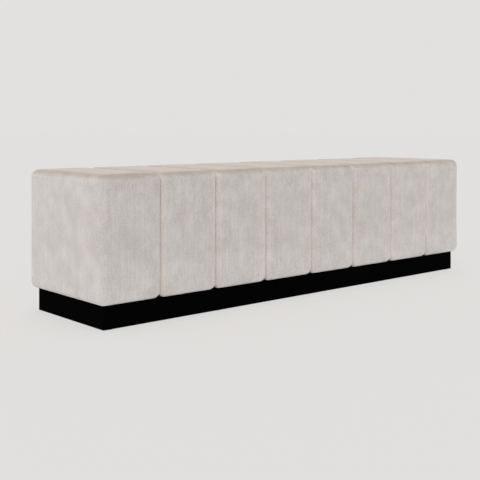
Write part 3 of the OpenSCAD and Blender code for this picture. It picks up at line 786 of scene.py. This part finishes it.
def staple_rows(size, dust_low, dust_high, pitch):
    """Places of the staples: a row along each hem of the covers and along each edge of the dust cover.

    A channel holds a whole number of staples, so none lies across a seam of the hem. Each is turned a
    little, by the sine of its number. There are none where a brace of the plinth lies against the cloth."""
    pitch_x = size.pitch / max(1, round(size.pitch / pitch))
    along = np.arange(size.left + pitch_x / 2, -size.left, pitch_x)
    across = (np.arange(END_STAPLES) - END_STAPLES // 2) * pitch
    hem_x, hem_y = ((hem + core) / 2 - HEM_STAPLE_IN for hem, core in (
        (size.hem_x, size.core_x), (size.hem_y, size.core_y)))
    sheet_x, sheet_y = dust_high.x - SHEET_STAPLE_IN, dust_high.y - SHEET_STAPLE_IN
    rows = []
    for side in (-1, 1):
        rows += [(x, side * hem_y, size.floor, 0.0) for x in along]
        rows += [(x - pitch_x / 2, side * sheet_y, dust_low.z, 0.0) for x in along[1:]]
        rows += [(side * hem_x, y, size.floor, math.pi / 2) for y in across]
        rows += [(side * sheet_x, y + pitch / 2, dust_low.z, math.pi / 2) for y in across[:-1]]
    braces = [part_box(name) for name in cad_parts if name.startswith("plinth_brace_")]
    kept = []
    for number, (x, y, z, angle) in enumerate(rows):
        under_brace = any(low.x - BRACE_ROOM < x < high.x + BRACE_ROOM for low, high in braces)
        past_end = angle == 0 and abs(x) > size.hem_x - END_ROOM
        if not under_brace and not past_end:
            kept.append((x, y, z, angle + STAPLE_TURN * math.sin(STAPLE_BEAT * number)))
    return kept


def put(tree, kind, inputs=None, **settings):
    """A new node with its settings. An input, by name or number, takes a value or another node's socket."""
    made = tree.nodes.new(kind)
    for label, value in settings.items():
        setattr(made, label, value)
    for label, value in (inputs or {}).items():
        if isinstance(value, bpy.types.NodeSocket):
            tree.links.new(value, made.inputs[label])
        else:
            made.inputs[label].default_value = value
    return made


def noise(tree, vector, scale, detail, roughness):
    """Value of a noise texture on a vector that is stretched by the scale, a number for each axis."""
    mapped = put(tree, "ShaderNodeMapping", {"Vector": vector, "Scale": scale})
    return put(tree, "ShaderNodeTexNoise", {
        "Vector": mapped.outputs[0], "Scale": 1.0, "Detail": detail, "Roughness": roughness}).outputs[0]


def blend(tree, factor, a, b, mode="MIX"):
    """Colour mixed from two colours."""
    return put(tree, "ShaderNodeMix", {0: factor, 6: a, 7: b}, data_type="RGBA", blend_type=mode).outputs[2]


def between(tree, factor, a, b):
    """Value mixed from two values."""
    return put(tree, "ShaderNodeMix", {0: factor, 2: a, 3: b}, data_type="FLOAT").outputs[0]


def spread(tree, value, low, high):
    """Value carried from the range 0.3 to 0.7, in which noise lies, to a new range."""
    return put(tree, "ShaderNodeMapRange", {
        "Value": value, "From Min": 0.3, "From Max": 0.7, "To Min": low, "To Max": high}).outputs[0]


def compute(tree, operation, a, b=0.0):
    """Sum, product or other operation on two values, each a number or a socket."""
    return put(tree, "ShaderNodeMath", {0: a, 1: b}, operation=operation).outputs[0]


def group(name, inputs, outputs):
    """New shader group with named sockets, and its input and output nodes."""
    tree = bpy.data.node_groups.new(name, "ShaderNodeTree")
    for label, kind, value in inputs:
        socket = tree.interface.new_socket(label, in_out="INPUT", socket_type=kind)
        socket.default_value = value
    for label, kind in outputs:
        tree.interface.new_socket(label, in_out="OUTPUT", socket_type=kind)
    return tree, tree.nodes.new("NodeGroupInput").outputs, tree.nodes.new("NodeGroupOutput")


def send(tree, result, **outputs):
    """Links values to the outputs of a group. An underscore in a name stands for a space."""
    for label, socket in outputs.items():
        tree.links.new(socket, result.inputs[label.replace("_", " ")])


def object_coordinates(tree, squeeze=None):
    """The object's own coordinates, times the squeeze along each axis if there is one."""
    place = tree.nodes.new("ShaderNodeTexCoord").outputs["Object"]
    if squeeze is None:
        return place
    return put(tree, "ShaderNodeVectorMath", {0: place, 1: squeeze}, operation="MULTIPLY").outputs[0]


def rib_wave(tree, place, endwise, pitch):
    """Fine ribs of the weave: the sine of the way across them over the pitch, along X, or on the ends Y.

    Slow noise moves the ribs a little to and fro, so that none runs quite straight."""
    slow = spread(tree, noise(tree, place, (24, 24, 7), 2.0, 0.5), -1, 1)
    sway = compute(tree, "MULTIPLY", slow, RIB_SWAY)
    axes = put(tree, "ShaderNodeSeparateXYZ", {0: place}).outputs
    waves = []
    for axis in axes[:2]:
        turn = compute(tree, "DIVIDE", compute(tree, "ADD", axis, sway), pitch)
        waves.append(compute(tree, "SINE", compute(tree, "MULTIPLY", turn, 2 * math.pi)))
    return between(tree, endwise, *waves)


def nap_noise(tree, place, face_up, down, back, detail):
    """Noise drawn out along the nap: down the sides, or from front to back where the pile faces up."""
    return between(
        tree, face_up, noise(tree, place, down, detail, 0.6), noise(tree, place, back, detail, 0.6))


def pile_group():
    """Fabric with a short pile: fine ribs, streaks and long lines along the nap, soft clouds where the
    pile is turned, and small grain.

    All but the ribs are noise on the object's coordinates. Where the clouds are light the lines are
    plain, and where they are dark the pile is rough with grain. The shade is a half plus the weighted
    sum."""
    tree, given, result = group(
        "fabric_pile",
        [("Face Up", "NodeSocketFloat", 0.0), ("Endwise", "NodeSocketFloat", 0.0),
         ("Streaks", "NodeSocketFloat", 0.16), ("Lines", "NodeSocketFloat", 0.36),
         ("Clouds", "NodeSocketFloat", 0.41), ("Grain", "NodeSocketFloat", 0.72),
         ("Ribs", "NodeSocketFloat", 0.06), ("Rib Pitch", "NodeSocketFloat", 0.00257)],
        [("Shade", "NodeSocketFloat"), ("Hue", "NodeSocketFloat"), ("Height", "NodeSocketFloat")])
    place = object_coordinates(tree)
    streak = nap_noise(tree, place, given["Face Up"], (210, 210, 45), (210, 45, 90), 3.0)
    line = nap_noise(tree, place, given["Face Up"], (300, 300, 4), (300, 4, 90), 1.5)
    cloud = noise(tree, place, (19, 19, 16), 5.0, 0.65)
    grain = noise(tree, place, (270, 270, 240), 3.0, 0.7)
    rib = rib_wave(tree, place, given["Endwise"], given["Rib Pitch"])
    patch = spread(tree, cloud, 0.1, 1)
    rough = compute(tree, "SUBTRACT", 1.25, compute(tree, "MULTIPLY", patch, 0.95))
    shade = 0.5
    for part, weight in (
            (spread(tree, streak, -1, 1), given["Streaks"]),
            (compute(tree, "MULTIPLY", spread(tree, line, -1, 1), patch), given["Lines"]),
            (spread(tree, cloud, -1, 1), given["Clouds"]),
            (compute(tree, "MULTIPLY", spread(tree, grain, -1, 1), rough), given["Grain"]),
            (rib, given["Ribs"])):
        shade = compute(tree, "ADD", compute(tree, "MULTIPLY", part, weight), shade)
    shade = put(tree, "ShaderNodeClamp", {"Value": shade}).outputs[0]
    hue = noise(tree, place, (150, 150, 60), 4.0, 0.7)
    height = streak
    for part, weight in ((grain, 0.5), (rib, 0.12)):
        height = compute(tree, "ADD", height, compute(tree, "MULTIPLY", part, weight))
    send(tree, result, Shade=shade, Hue=hue, Height=height)
    return tree


def wood_group():
    """Sawn wood: rings as a wave, bent by noise that is drawn out along the grain, and fine pores.

    The squeeze is a share for each axis. It is small along the grain, so the figure is long that way."""
    tree, given, result = group(
        "wood_figure",
        [("Squeeze", "NodeSocketVector", (1.0, 1.0, 1.0)), ("Light", "NodeSocketColor", (1, 1, 1, 1)),
         ("Dark", "NodeSocketColor", (0, 0, 0, 1)), ("Figure", "NodeSocketFloat", 0.6)],
        [("Colour", "NodeSocketColor"), ("Height", "NodeSocketFloat")])
    place = object_coordinates(tree, given["Squeeze"])
    bend = put(tree, "ShaderNodeTexNoise", {"Vector": place, "Scale": 9.0, "Detail": 4.0}).outputs[0]
    pore = put(tree, "ShaderNodeTexNoise", {"Vector": place, "Scale": 260.0, "Detail": 3.0}).outputs[0]
    ring = put(tree, "ShaderNodeTexWave", {
        "Vector": place, "Scale": 14.0, "Distortion": 6.0, "Detail": 2.0, "Detail Scale": 1.5}).outputs[1]
    figure = compute(tree, "MULTIPLY", ring, given["Figure"])
    for part, weight in ((bend, 0.35), (pore, 0.25)):
        figure = compute(tree, "ADD", figure, compute(tree, "MULTIPLY", part, weight))
    colour = blend(tree, figure, given["Light"], given["Dark"])
    send(tree, result, Colour=colour, Height=figure)
    return tree


def plies_group():
    """Plies of plywood: stripes across the thickness, every other one darker, that show on the edges."""
    tree, given, result = group(
        "plywood_plies",
        [("Across", "NodeSocketVector", (0.0, 0.0, 1.0)), ("Pitch", "NodeSocketFloat", 0.003)],
        [("Mask", "NodeSocketFloat")])
    along = put(tree, "ShaderNodeVectorMath", {0: object_coordinates(tree), 1: given["Across"]},
                operation="DOT_PRODUCT").outputs["Value"]
    count = compute(tree, "DIVIDE", along, given["Pitch"])
    send(tree, result, Mask=compute(tree, "GREATER_THAN", compute(tree, "FRACT", count), 0.5))
    return tree


def speckle_group():
    """Fine specks for paint, foam, cloth and metal: noise at a given scale as a value and a height."""
    tree, given, result = group(
        "fine_specks",
        [("Squeeze", "NodeSocketVector", (1.0, 1.0, 1.0)), ("Scale", "NodeSocketFloat", 300.0),
         ("Low", "NodeSocketFloat", 0.4), ("High", "NodeSocketFloat", 0.6)],
        [("Value", "NodeSocketFloat"), ("Height", "NodeSocketFloat")])
    speck = put(tree, "ShaderNodeTexNoise", {
        "Vector": object_coordinates(tree, given["Squeeze"]), "Scale": given["Scale"], "Detail": 3.0,
        "Roughness": 0.6}).outputs[0]
    send(tree, result, Value=spread(tree, speck, given["Low"], given["High"]), Height=speck)
    return tree


GROUPS = {
    "fabric_pile": pile_group,
    "wood_figure": wood_group,
    "plywood_plies": plies_group,
    "fine_specks": speckle_group,
}


def use(tree, name, inputs=None):
    """Outputs of a placed copy of one of the shared groups, which is built when it is first asked for."""
    shared = bpy.data.node_groups.get(name) or GROUPS[name]()
    return put(tree, "ShaderNodeGroup", inputs, node_tree=shared).outputs


def surface(name, build, **values):
    """New material. Build takes its tree and gives the sockets that feed its Principled shader."""
    material = bpy.data.materials.new(name)
    material.use_nodes = True
    tree = material.node_tree
    shader = tree.nodes["Principled BSDF"]
    for label, value in values.items():
        shader.inputs[label.replace("_", " ")].default_value = value
    for label, socket in build(tree).items():
        tree.links.new(socket, shader.inputs[label])
    return material


def bump(tree, height, distance, strength):
    """Normal from a height that stands for the distance, in metres."""
    return put(tree, "ShaderNodeBump", {
        "Height": height, "Distance": distance, "Strength": strength}).outputs[0]


def opaque(colour, share=1.0):
    """Colour, dimmed to a share, with a full alpha."""
    return (*(part * share for part in colour), 1.0)


def fabric_material(finish):
    """Pale ribbed velvet: the pile's colours by its shade, with a slight play of hue. Over that lie painted
    shade and light by the way the fabric faces: a warmer, darker painted shade on the top, a darker painted
    shade band along the upper edges, painted light on the lower edges and in the valleys, and a near-black
    hem that is painted shade under the body."""
    def build(tree):
        upward, endwise, band, lower, valley, lining = (
            put(tree, "ShaderNodeAttribute", attribute_name=name).outputs["Fac"]
            for name in ("upward", "endwise", "band", "lower", "valley", "lining"))
        pile = use(tree, "fabric_pile", {"Face Up": upward, "Endwise": endwise})
        colour = blend(tree, pile["Shade"], opaque(finish.shade_colour), opaque(finish.pile_colour))
        play = blend(tree, spread(tree, pile["Hue"], 0, 1), opaque(COOL_PLAY), opaque(WARM_PLAY))
        colour = blend(tree, 1.0, colour, play, "MULTIPLY")
        # Painted shade of the upper band, varied by the hue noise.
        shade_painted = compute(tree, "MULTIPLY", band, spread(tree, pile["Hue"], -0.5, 1.3))
        # Painted shade on the top and in the upper band, and painted light on the lower edges and in the
        # valleys, each multiplied into the colour by its mask.
        for share, tint in (
                (upward, finish.painted_top_shade_tint), (shade_painted, finish.painted_edge_shade_tint),
                (lower, finish.painted_lower_light_tint), (valley, finish.painted_valley_light_tint)):
            colour = blend(tree, 1.0, colour, blend(tree, share, (1, 1, 1, 1), opaque(tint)), "MULTIPLY")
        # Painted shade: the hem under the body is near black.
        colour = blend(tree, lining, colour, opaque(finish.painted_underside_shade_colour))
        return {"Base Color": colour, "Normal": bump(tree, pile["Height"], 0.0004, 0.5)}
    return surface(
        "channel_velvet", build, Roughness=0.95, Specular_IOR_Level=0.1,
        Sheen_Weight=0.45, Sheen_Roughness=0.5, Sheen_Tint=(1.0, 0.97, 0.93, 1.0),
        Subsurface_Weight=0.3, Subsurface_Radius=(1.0, 0.9, 0.8), Subsurface_Scale=0.012)


def speckled(name, tones, specks, relief, rough=False, **values):
    """Material whose colour goes between two tones with fine specks, which also stand out by the relief:
    a height and a strength. A rough one takes its roughness from the specks too."""
    def build(tree):
        made = use(tree, "fine_specks", specks)
        feeds = {
            "Base Color": blend(tree, made["Value"], *tones),
            "Normal": bump(tree, made["Height"], *relief)}
        if rough:
            feeds["Roughness"] = made["Value"]
        return feeds
    return surface(name, build, **values)


def paint_material(finish):
    """Deep black paint, nearly matt, over sanded boards."""
    tones = opaque(finish.paint_colour, 0.6), opaque(finish.paint_colour)
    specks = {"Scale": 260.0, "Low": 0.75, "High": 0.95}
    return speckled("plinth_black", tones, specks, (0.0001, 0.2), rough=True, Specular_IOR_Level=0.01)


def wood_material(name, light, squeeze, figure):
    """Sawn wood whose grain runs along the axis that the squeeze makes short."""
    def build(tree):
        wood = use(tree, "wood_figure", {
            "Squeeze": squeeze, "Light": opaque(light), "Dark": opaque(light, 0.62), "Figure": figure})
        return {"Base Color": wood["Colour"], "Normal": bump(tree, wood["Height"], 0.0003, 0.3)}
    return surface(name, build, Roughness=0.6, Specular_IOR_Level=0.3)


def plywood_material(name, finish, across, squeeze):
    """Birch plywood, with plies on its edges."""
    def build(tree):
        wood = use(tree, "wood_figure", {
            "Squeeze": squeeze, "Light": opaque(finish.ply_colour), "Dark": opaque(finish.ply_colour, 0.7),
            "Figure": 0.4})
        plies = use(tree, "plywood_plies", {"Across": across, "Pitch": finish.ply_pitch})
        glue = compute(tree, "MULTIPLY", plies["Mask"], 0.3)
        colour = blend(tree, glue, wood["Colour"], opaque(finish.glue_colour))
        return {"Base Color": colour, "Normal": bump(tree, wood["Height"], 0.0003, 0.3)}
    return surface(name, build, Roughness=0.55, Specular_IOR_Level=0.3)


def foam_material(finish):
    """Open-celled foam: a pale yellow with small dark cells."""
    tones = opaque(finish.foam_colour, 0.7), opaque(finish.foam_colour)
    cells = {"Scale": 480.0, "Low": 0.0, "High": 1.0}
    return speckled("foam_cells", tones, cells, (0.001, 0.8), Roughness=0.95, Specular_IOR_Level=0.1)


def cloth_material(name, colour, squeeze, roughness):
    """Thin technical cloth: threads as specks drawn out one way."""
    specks = {"Squeeze": squeeze, "Scale": 700.0, "Low": 0.0, "High": 1.0}
    return speckled(name, (opaque(colour, 0.6), opaque(colour)), specks, (0.0004, 0.6), Roughness=roughness,
                    Specular_IOR_Level=0.15)


def metal_material(name, colour, metallic):
    """Plated steel or moulded nylon with a finely worn face."""
    specks = {"Scale": 900.0, "Low": 0.28, "High": 0.5}
    return speckled(name, (opaque(colour), opaque(colour, 0.7)), specks, (0.0001, 0.2), rough=True,
                    Metallic=metallic)


def give(names, material):
    """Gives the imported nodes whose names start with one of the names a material."""
    for name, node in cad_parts.items():
        if name.startswith(tuple(names)):
            node.data.materials.clear()
            node.data.materials.append(material)


def dress(piece, material, *replaced, slot=None, fill=None):
    """Gives a new piece its material and body, and hides the imported nodes that it stands for. The slot and
    the fill are not used.
    """
    piece.data.materials.append(material)
    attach(piece, BODY)
    if replaced:
        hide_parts(*replaced)


class OTTOMAN_OT_covers(Operator):
    """Makes the eight covers of the channels, swelled over their foam."""

    bl_idname = "ottoman.covers"
    bl_label = "Channel covers"

    def execute(self, context):
        settings = context.scene.ottoman_upholstery
        size = Sizes(settings)
        first = size.seams[0]
        fabric = fabric_material(context.scene.ottoman_finish)
        end = channel_skin(size, *end_channel(size, size.left, first), -size.hem_x, settings.swell_limit)
        middle = channel_skin(
            size, *middle_channel(size, first, size.seams[1]), -math.inf, settings.swell_limit)
        channels = [end]
        channels += [(middle[0] + (seam - first, 0, 0), *middle[1:]) for seam in size.seams[:-1]]
        channels += [(*mirrored(*end[:2]), end[2])]
        for number, (points, quads, marks) in enumerate(channels, 1):
            piece = mesh_piece(f"channel_cover_{number}", points, quads, marks)
            dress(piece, fabric, f"cover_{number}", slot="upholstery", fill=0.9)
        return {"FINISHED"}


class OTTOMAN_OT_foam(Operator):
    """Makes the foam saddles, the end pads and the pull strips below the covers."""

    bl_idname = "ottoman.foam"
    bl_label = "Foam and strips"

    def execute(self, context):
        settings = context.scene.ottoman_upholstery
        finish = context.scene.ottoman_finish
        size = Sizes(settings)
        foam = foam_material(finish)
        tape = cloth_material("strip_tape", finish.tape_colour, (1.0, 0.2, 0.2), 0.8)
        edge = size.core_x + size.gap
        lines = [-edge, *size.seams, edge]
        for number, (low, high) in enumerate(zip(lines[:-1], lines[1:]), 1):
            points, quads = foam_saddle(size, low, high, number > 1, number < len(lines) - 1)
            piece = mesh_piece(f"foam_channel_{number}", points, quads, smooth_faces=False)
            dress(piece, foam, f"foam_saddle_{number}", slot="foam", fill=1.0)
        pad = end_pad(size)
        for side, (points, quads) in (("left", pad), ("right", mirrored(*pad))):
            piece = mesh_piece(f"foam_end_{side}", points, quads, smooth_faces=False)
            dress(piece, foam, f"{side}_end_pad", slot="foam", fill=1.0)
        for number, seam in enumerate(size.seams, 1):
            points, quads = pull_strip(size, seam, settings.strip_foot, settings.strip_thickness)
            piece = mesh_piece(f"seam_strip_{number}", points, quads, smooth_faces=False)
            dress(piece, tape, f"pull_strip_{number}", slot="strip_tape")
        return {"FINISHED"}


class OTTOMAN_OT_carcass(Operator):
    """Gives the plywood, the softwood, the dowels and the fixings their finishes."""

    bl_idname = "ottoman.carcass"
    bl_label = "Carcass and fixings"

    def execute(self, context):
        finish = context.scene.ottoman_finish
        along, across, upright = (0.12, 1, 1), (1, 0.12, 1), (1, 1, 0.1)
        give(["front_panel", "rear_panel"],
             plywood_material("plywood_upright_long", finish, (0, 1, 0), along))
        give(["left_end_panel", "right_end_panel", "rib_"],
             plywood_material("plywood_upright_cross", finish, (1, 0, 0), across))
        give(["deck_panel"], plywood_material("plywood_flat", finish, (0, 0, 1), along))
        along, across = (0.1, 1, 1), (1, 0.1, 1)
        pine = finish.timber_colour
        give(["front_rail", "rear_rail"], wood_material("softwood_long", pine, along, 0.7))
        give(["left_rail", "right_rail", "plinth_brace_"],
             wood_material("softwood_cross", pine, across, 0.7))
        give(["corner_posts", "corner_blocks"], wood_material("softwood_upright", pine, upright, 0.7))
        give(["rail_dowels"], wood_material("beech_dowel", finish.dowel_colour, across, 0.3))
        give(["frame_screws", "block_screws", "body_bolts", "bolt_washers", "tee_nuts"],
             metal_material("zinc_steel", finish.steel_colour, 1.0))
        give(["floor_glides"], metal_material("glide_nylon", finish.glide_colour, 0.0))
        return {"FINISHED"}


class OTTOMAN_OT_plinth(Operator):
    """Paints the boards of the plinth black."""

    bl_idname = "ottoman.plinth"
    bl_label = "Plinth paint"

    def execute(self, context):
        give(["plinth_front", "plinth_rear", "plinth_left", "plinth_right"],
             paint_material(context.scene.ottoman_finish))
        return {"FINISHED"}


class OTTOMAN_OT_underside(Operator):
    """Makes the dust cover under the carcass, and the staples that hold it and the hems."""

    bl_idname = "ottoman.underside"
    bl_label = "Dust cover and staples"

    def execute(self, context):
        settings = context.scene.ottoman_upholstery
        finish = context.scene.ottoman_finish
        size = Sizes(settings)
        low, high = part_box("dust_cover")
        points, quads = dust_sheet(low, high, settings.dust_cloth, settings.staple_pitch)
        cloth = mesh_piece("dust_sheet", points, quads)
        black = cloth_material("dust_cloth", finish.dust_colour, (1.0, 1.0, 1.0), 0.9)
        dress(cloth, black, "dust_cover", slot="dust_cloth")
        places = staple_rows(size, low, high, settings.staple_pitch)
        points, quads = staples(places, settings.staple_crown, settings.staple_wire, settings.staple_leg)
        wires = mesh_piece("hem_staples", points, quads, smooth_faces=False)
        dress(wires, metal_material("staple_steel", finish.steel_colour, 1.0), slot="zinc_steel")
        return {"FINISHED"}


class OTTOMAN_OT_studio(Operator):
    """Makes the floor, the lamps, the world and the camera."""

    bl_idname = "ottoman.studio"
    bl_label = "Studio"

    def execute(self, context):
        scene = context.scene
        studio = scene.ottoman_studio
        self.floor(studio)
        self.lamps(studio)
        self.world(scene, studio)
        self.camera(scene, studio)
        scene.view_settings.view_transform = "Standard"
        return {"FINISHED"}

    def floor(self, studio):
        """A level disc. The camera sees mostly its plain colour, and in part how the lamps light it."""
        turn = 2 * np.pi * steps(FLOOR_CORNERS)
        radii = np.array([*FLOOR_RINGS, studio.floor_radius])[:, None]
        points = np.stack([radii * np.cos(turn), radii * np.sin(turn), 0 * radii * turn], -1)
        quads = grid_quads(len(radii), FLOOR_CORNERS)[:, ::-1]
        floor = mesh_piece("studio_floor", points.reshape(-1, 3), quads)
        material = bpy.data.materials.new("studio_paper")
        material.use_nodes = True
        tree = material.node_tree
        tree.nodes.clear()
        colour = opaque(studio.backdrop_colour)
        lit = put(tree, "ShaderNodeBsdfDiffuse", {"Color": colour}).outputs[0]
        plain = put(tree, "ShaderNodeEmission", {"Color": colour, "Strength": 1.0}).outputs[0]
        camera = tree.nodes.new("ShaderNodeLightPath").outputs["Is Camera Ray"]
        share = compute(tree, "MULTIPLY", camera, 1 - studio.shadow_share)
        mixed = put(tree, "ShaderNodeMixShader", {0: share, 1: lit, 2: plain}).outputs[0]
        put(tree, "ShaderNodeOutputMaterial", {"Surface": mixed})
        floor.data.materials.append(material)

    def lamps(self, studio):
        """Three wide suns. The strength of each is the light that it lends times pi."""
        suns = (
            ("front_sun", studio.front, studio.front_from, 50),
            ("rear_sun", studio.rear, studio.rear_from, 60),
            ("top_sun", studio.above, (0, 0, 1), 40),
        )
        for name, light, (x, y, z), width in suns:
            lamp = bpy.data.lights.new(name, "SUN")
            lamp.energy = light * math.pi
            lamp.angle = math.radians(width)
            holder = bpy.data.objects.new(name, lamp)
            bpy.context.scene.collection.objects.link(holder)
            holder.rotation_euler = (math.atan2(math.hypot(x, y), z), 0, math.atan2(x, -y))

    def world(self, scene, studio):
        """Even sky light, behind which camera, glossy and transmission rays see the backdrop's colour."""
        world = bpy.data.worlds.new("studio_world")
        world.use_nodes = True
        tree = world.node_tree
        tree.nodes.clear()
        sky = put(tree, "ShaderNodeBackground", {"Color": (1, 1, 1, 1), "Strength": studio.sky}).outputs[0]
        seen = put(tree, "ShaderNodeBackground", {
            "Color": opaque(studio.backdrop_colour), "Strength": 1.0}).outputs[0]
        rays = tree.nodes.new("ShaderNodeLightPath").outputs
        share = compute(tree, "MAXIMUM", rays["Is Camera Ray"], rays["Is Glossy Ray"])
        share = compute(tree, "MAXIMUM", share, rays["Is Transmission Ray"])
        mixed = put(tree, "ShaderNodeMixShader", {0: share, 1: sky, 2: seen}).outputs[0]
        put(tree, "ShaderNodeOutputWorld", {"Surface": mixed})
        scene.world = world

    def camera(self, scene, studio):
        """A level camera whose film is shifted down."""
        view = bpy.data.cameras.new("photo_view")
        view.lens = studio.lens
        view.sensor_width = FILM_WIDTH
        view.shift_y = studio.camera_shift
        view.clip_end = FAR_LIMIT
        camera = bpy.data.objects.new("photo_view", view)
        camera.location = studio.camera_place
        camera.rotation_euler = (math.pi / 2, 0, studio.camera_heading)
        scene.collection.objects.link(camera)
        scene.camera = camera


class OTTOMAN_PT_panel(Panel):
    """Lists the ottoman's makers and their settings."""

    bl_idname = "OTTOMAN_PT_panel"
    bl_label = "Ottoman"
    bl_space_type = "VIEW_3D"
    bl_region_type = "UI"
    bl_category = "Ottoman"

    def draw(self, context):
        scene = context.scene
        for maker in MAKERS:
            self.layout.operator(maker.bl_idname)
        for settings in (scene.ottoman_upholstery, scene.ottoman_finish, scene.ottoman_studio):
            box = self.layout.box()
            for name in type(settings).__annotations__:
                box.prop(settings, name)


SETTINGS = {
    "ottoman_upholstery": OttomanUpholstery,
    "ottoman_finish": OttomanFinish,
    "ottoman_studio": OttomanStudio,
}
MAKERS = (
    OTTOMAN_OT_studio,
    OTTOMAN_OT_covers,
    OTTOMAN_OT_foam,
    OTTOMAN_OT_carcass,
    OTTOMAN_OT_plinth,
    OTTOMAN_OT_underside,
)


def register():
    """Registers the settings, the makers and the panel."""
    for cls in (*SETTINGS.values(), *MAKERS, OTTOMAN_PT_panel):
        bpy.utils.register_class(cls)
    for name, cls in SETTINGS.items():
        setattr(bpy.types.Scene, name, PointerProperty(type=cls))


def unregister():
    """Removes what register added."""
    for name in SETTINGS:
        delattr(bpy.types.Scene, name)
    for cls in (OTTOMAN_PT_panel, *reversed(MAKERS), *reversed(SETTINGS.values())):
        bpy.utils.unregister_class(cls)


def main():
    """Makes everything in order."""
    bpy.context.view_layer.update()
    register()
    bpy.ops.ottoman.studio()
    bpy.ops.ottoman.covers()
    bpy.ops.ottoman.foam()
    bpy.ops.ottoman.carcass()
    bpy.ops.ottoman.plinth()
    bpy.ops.ottoman.underside()


if __name__ == "__main__":
    main()
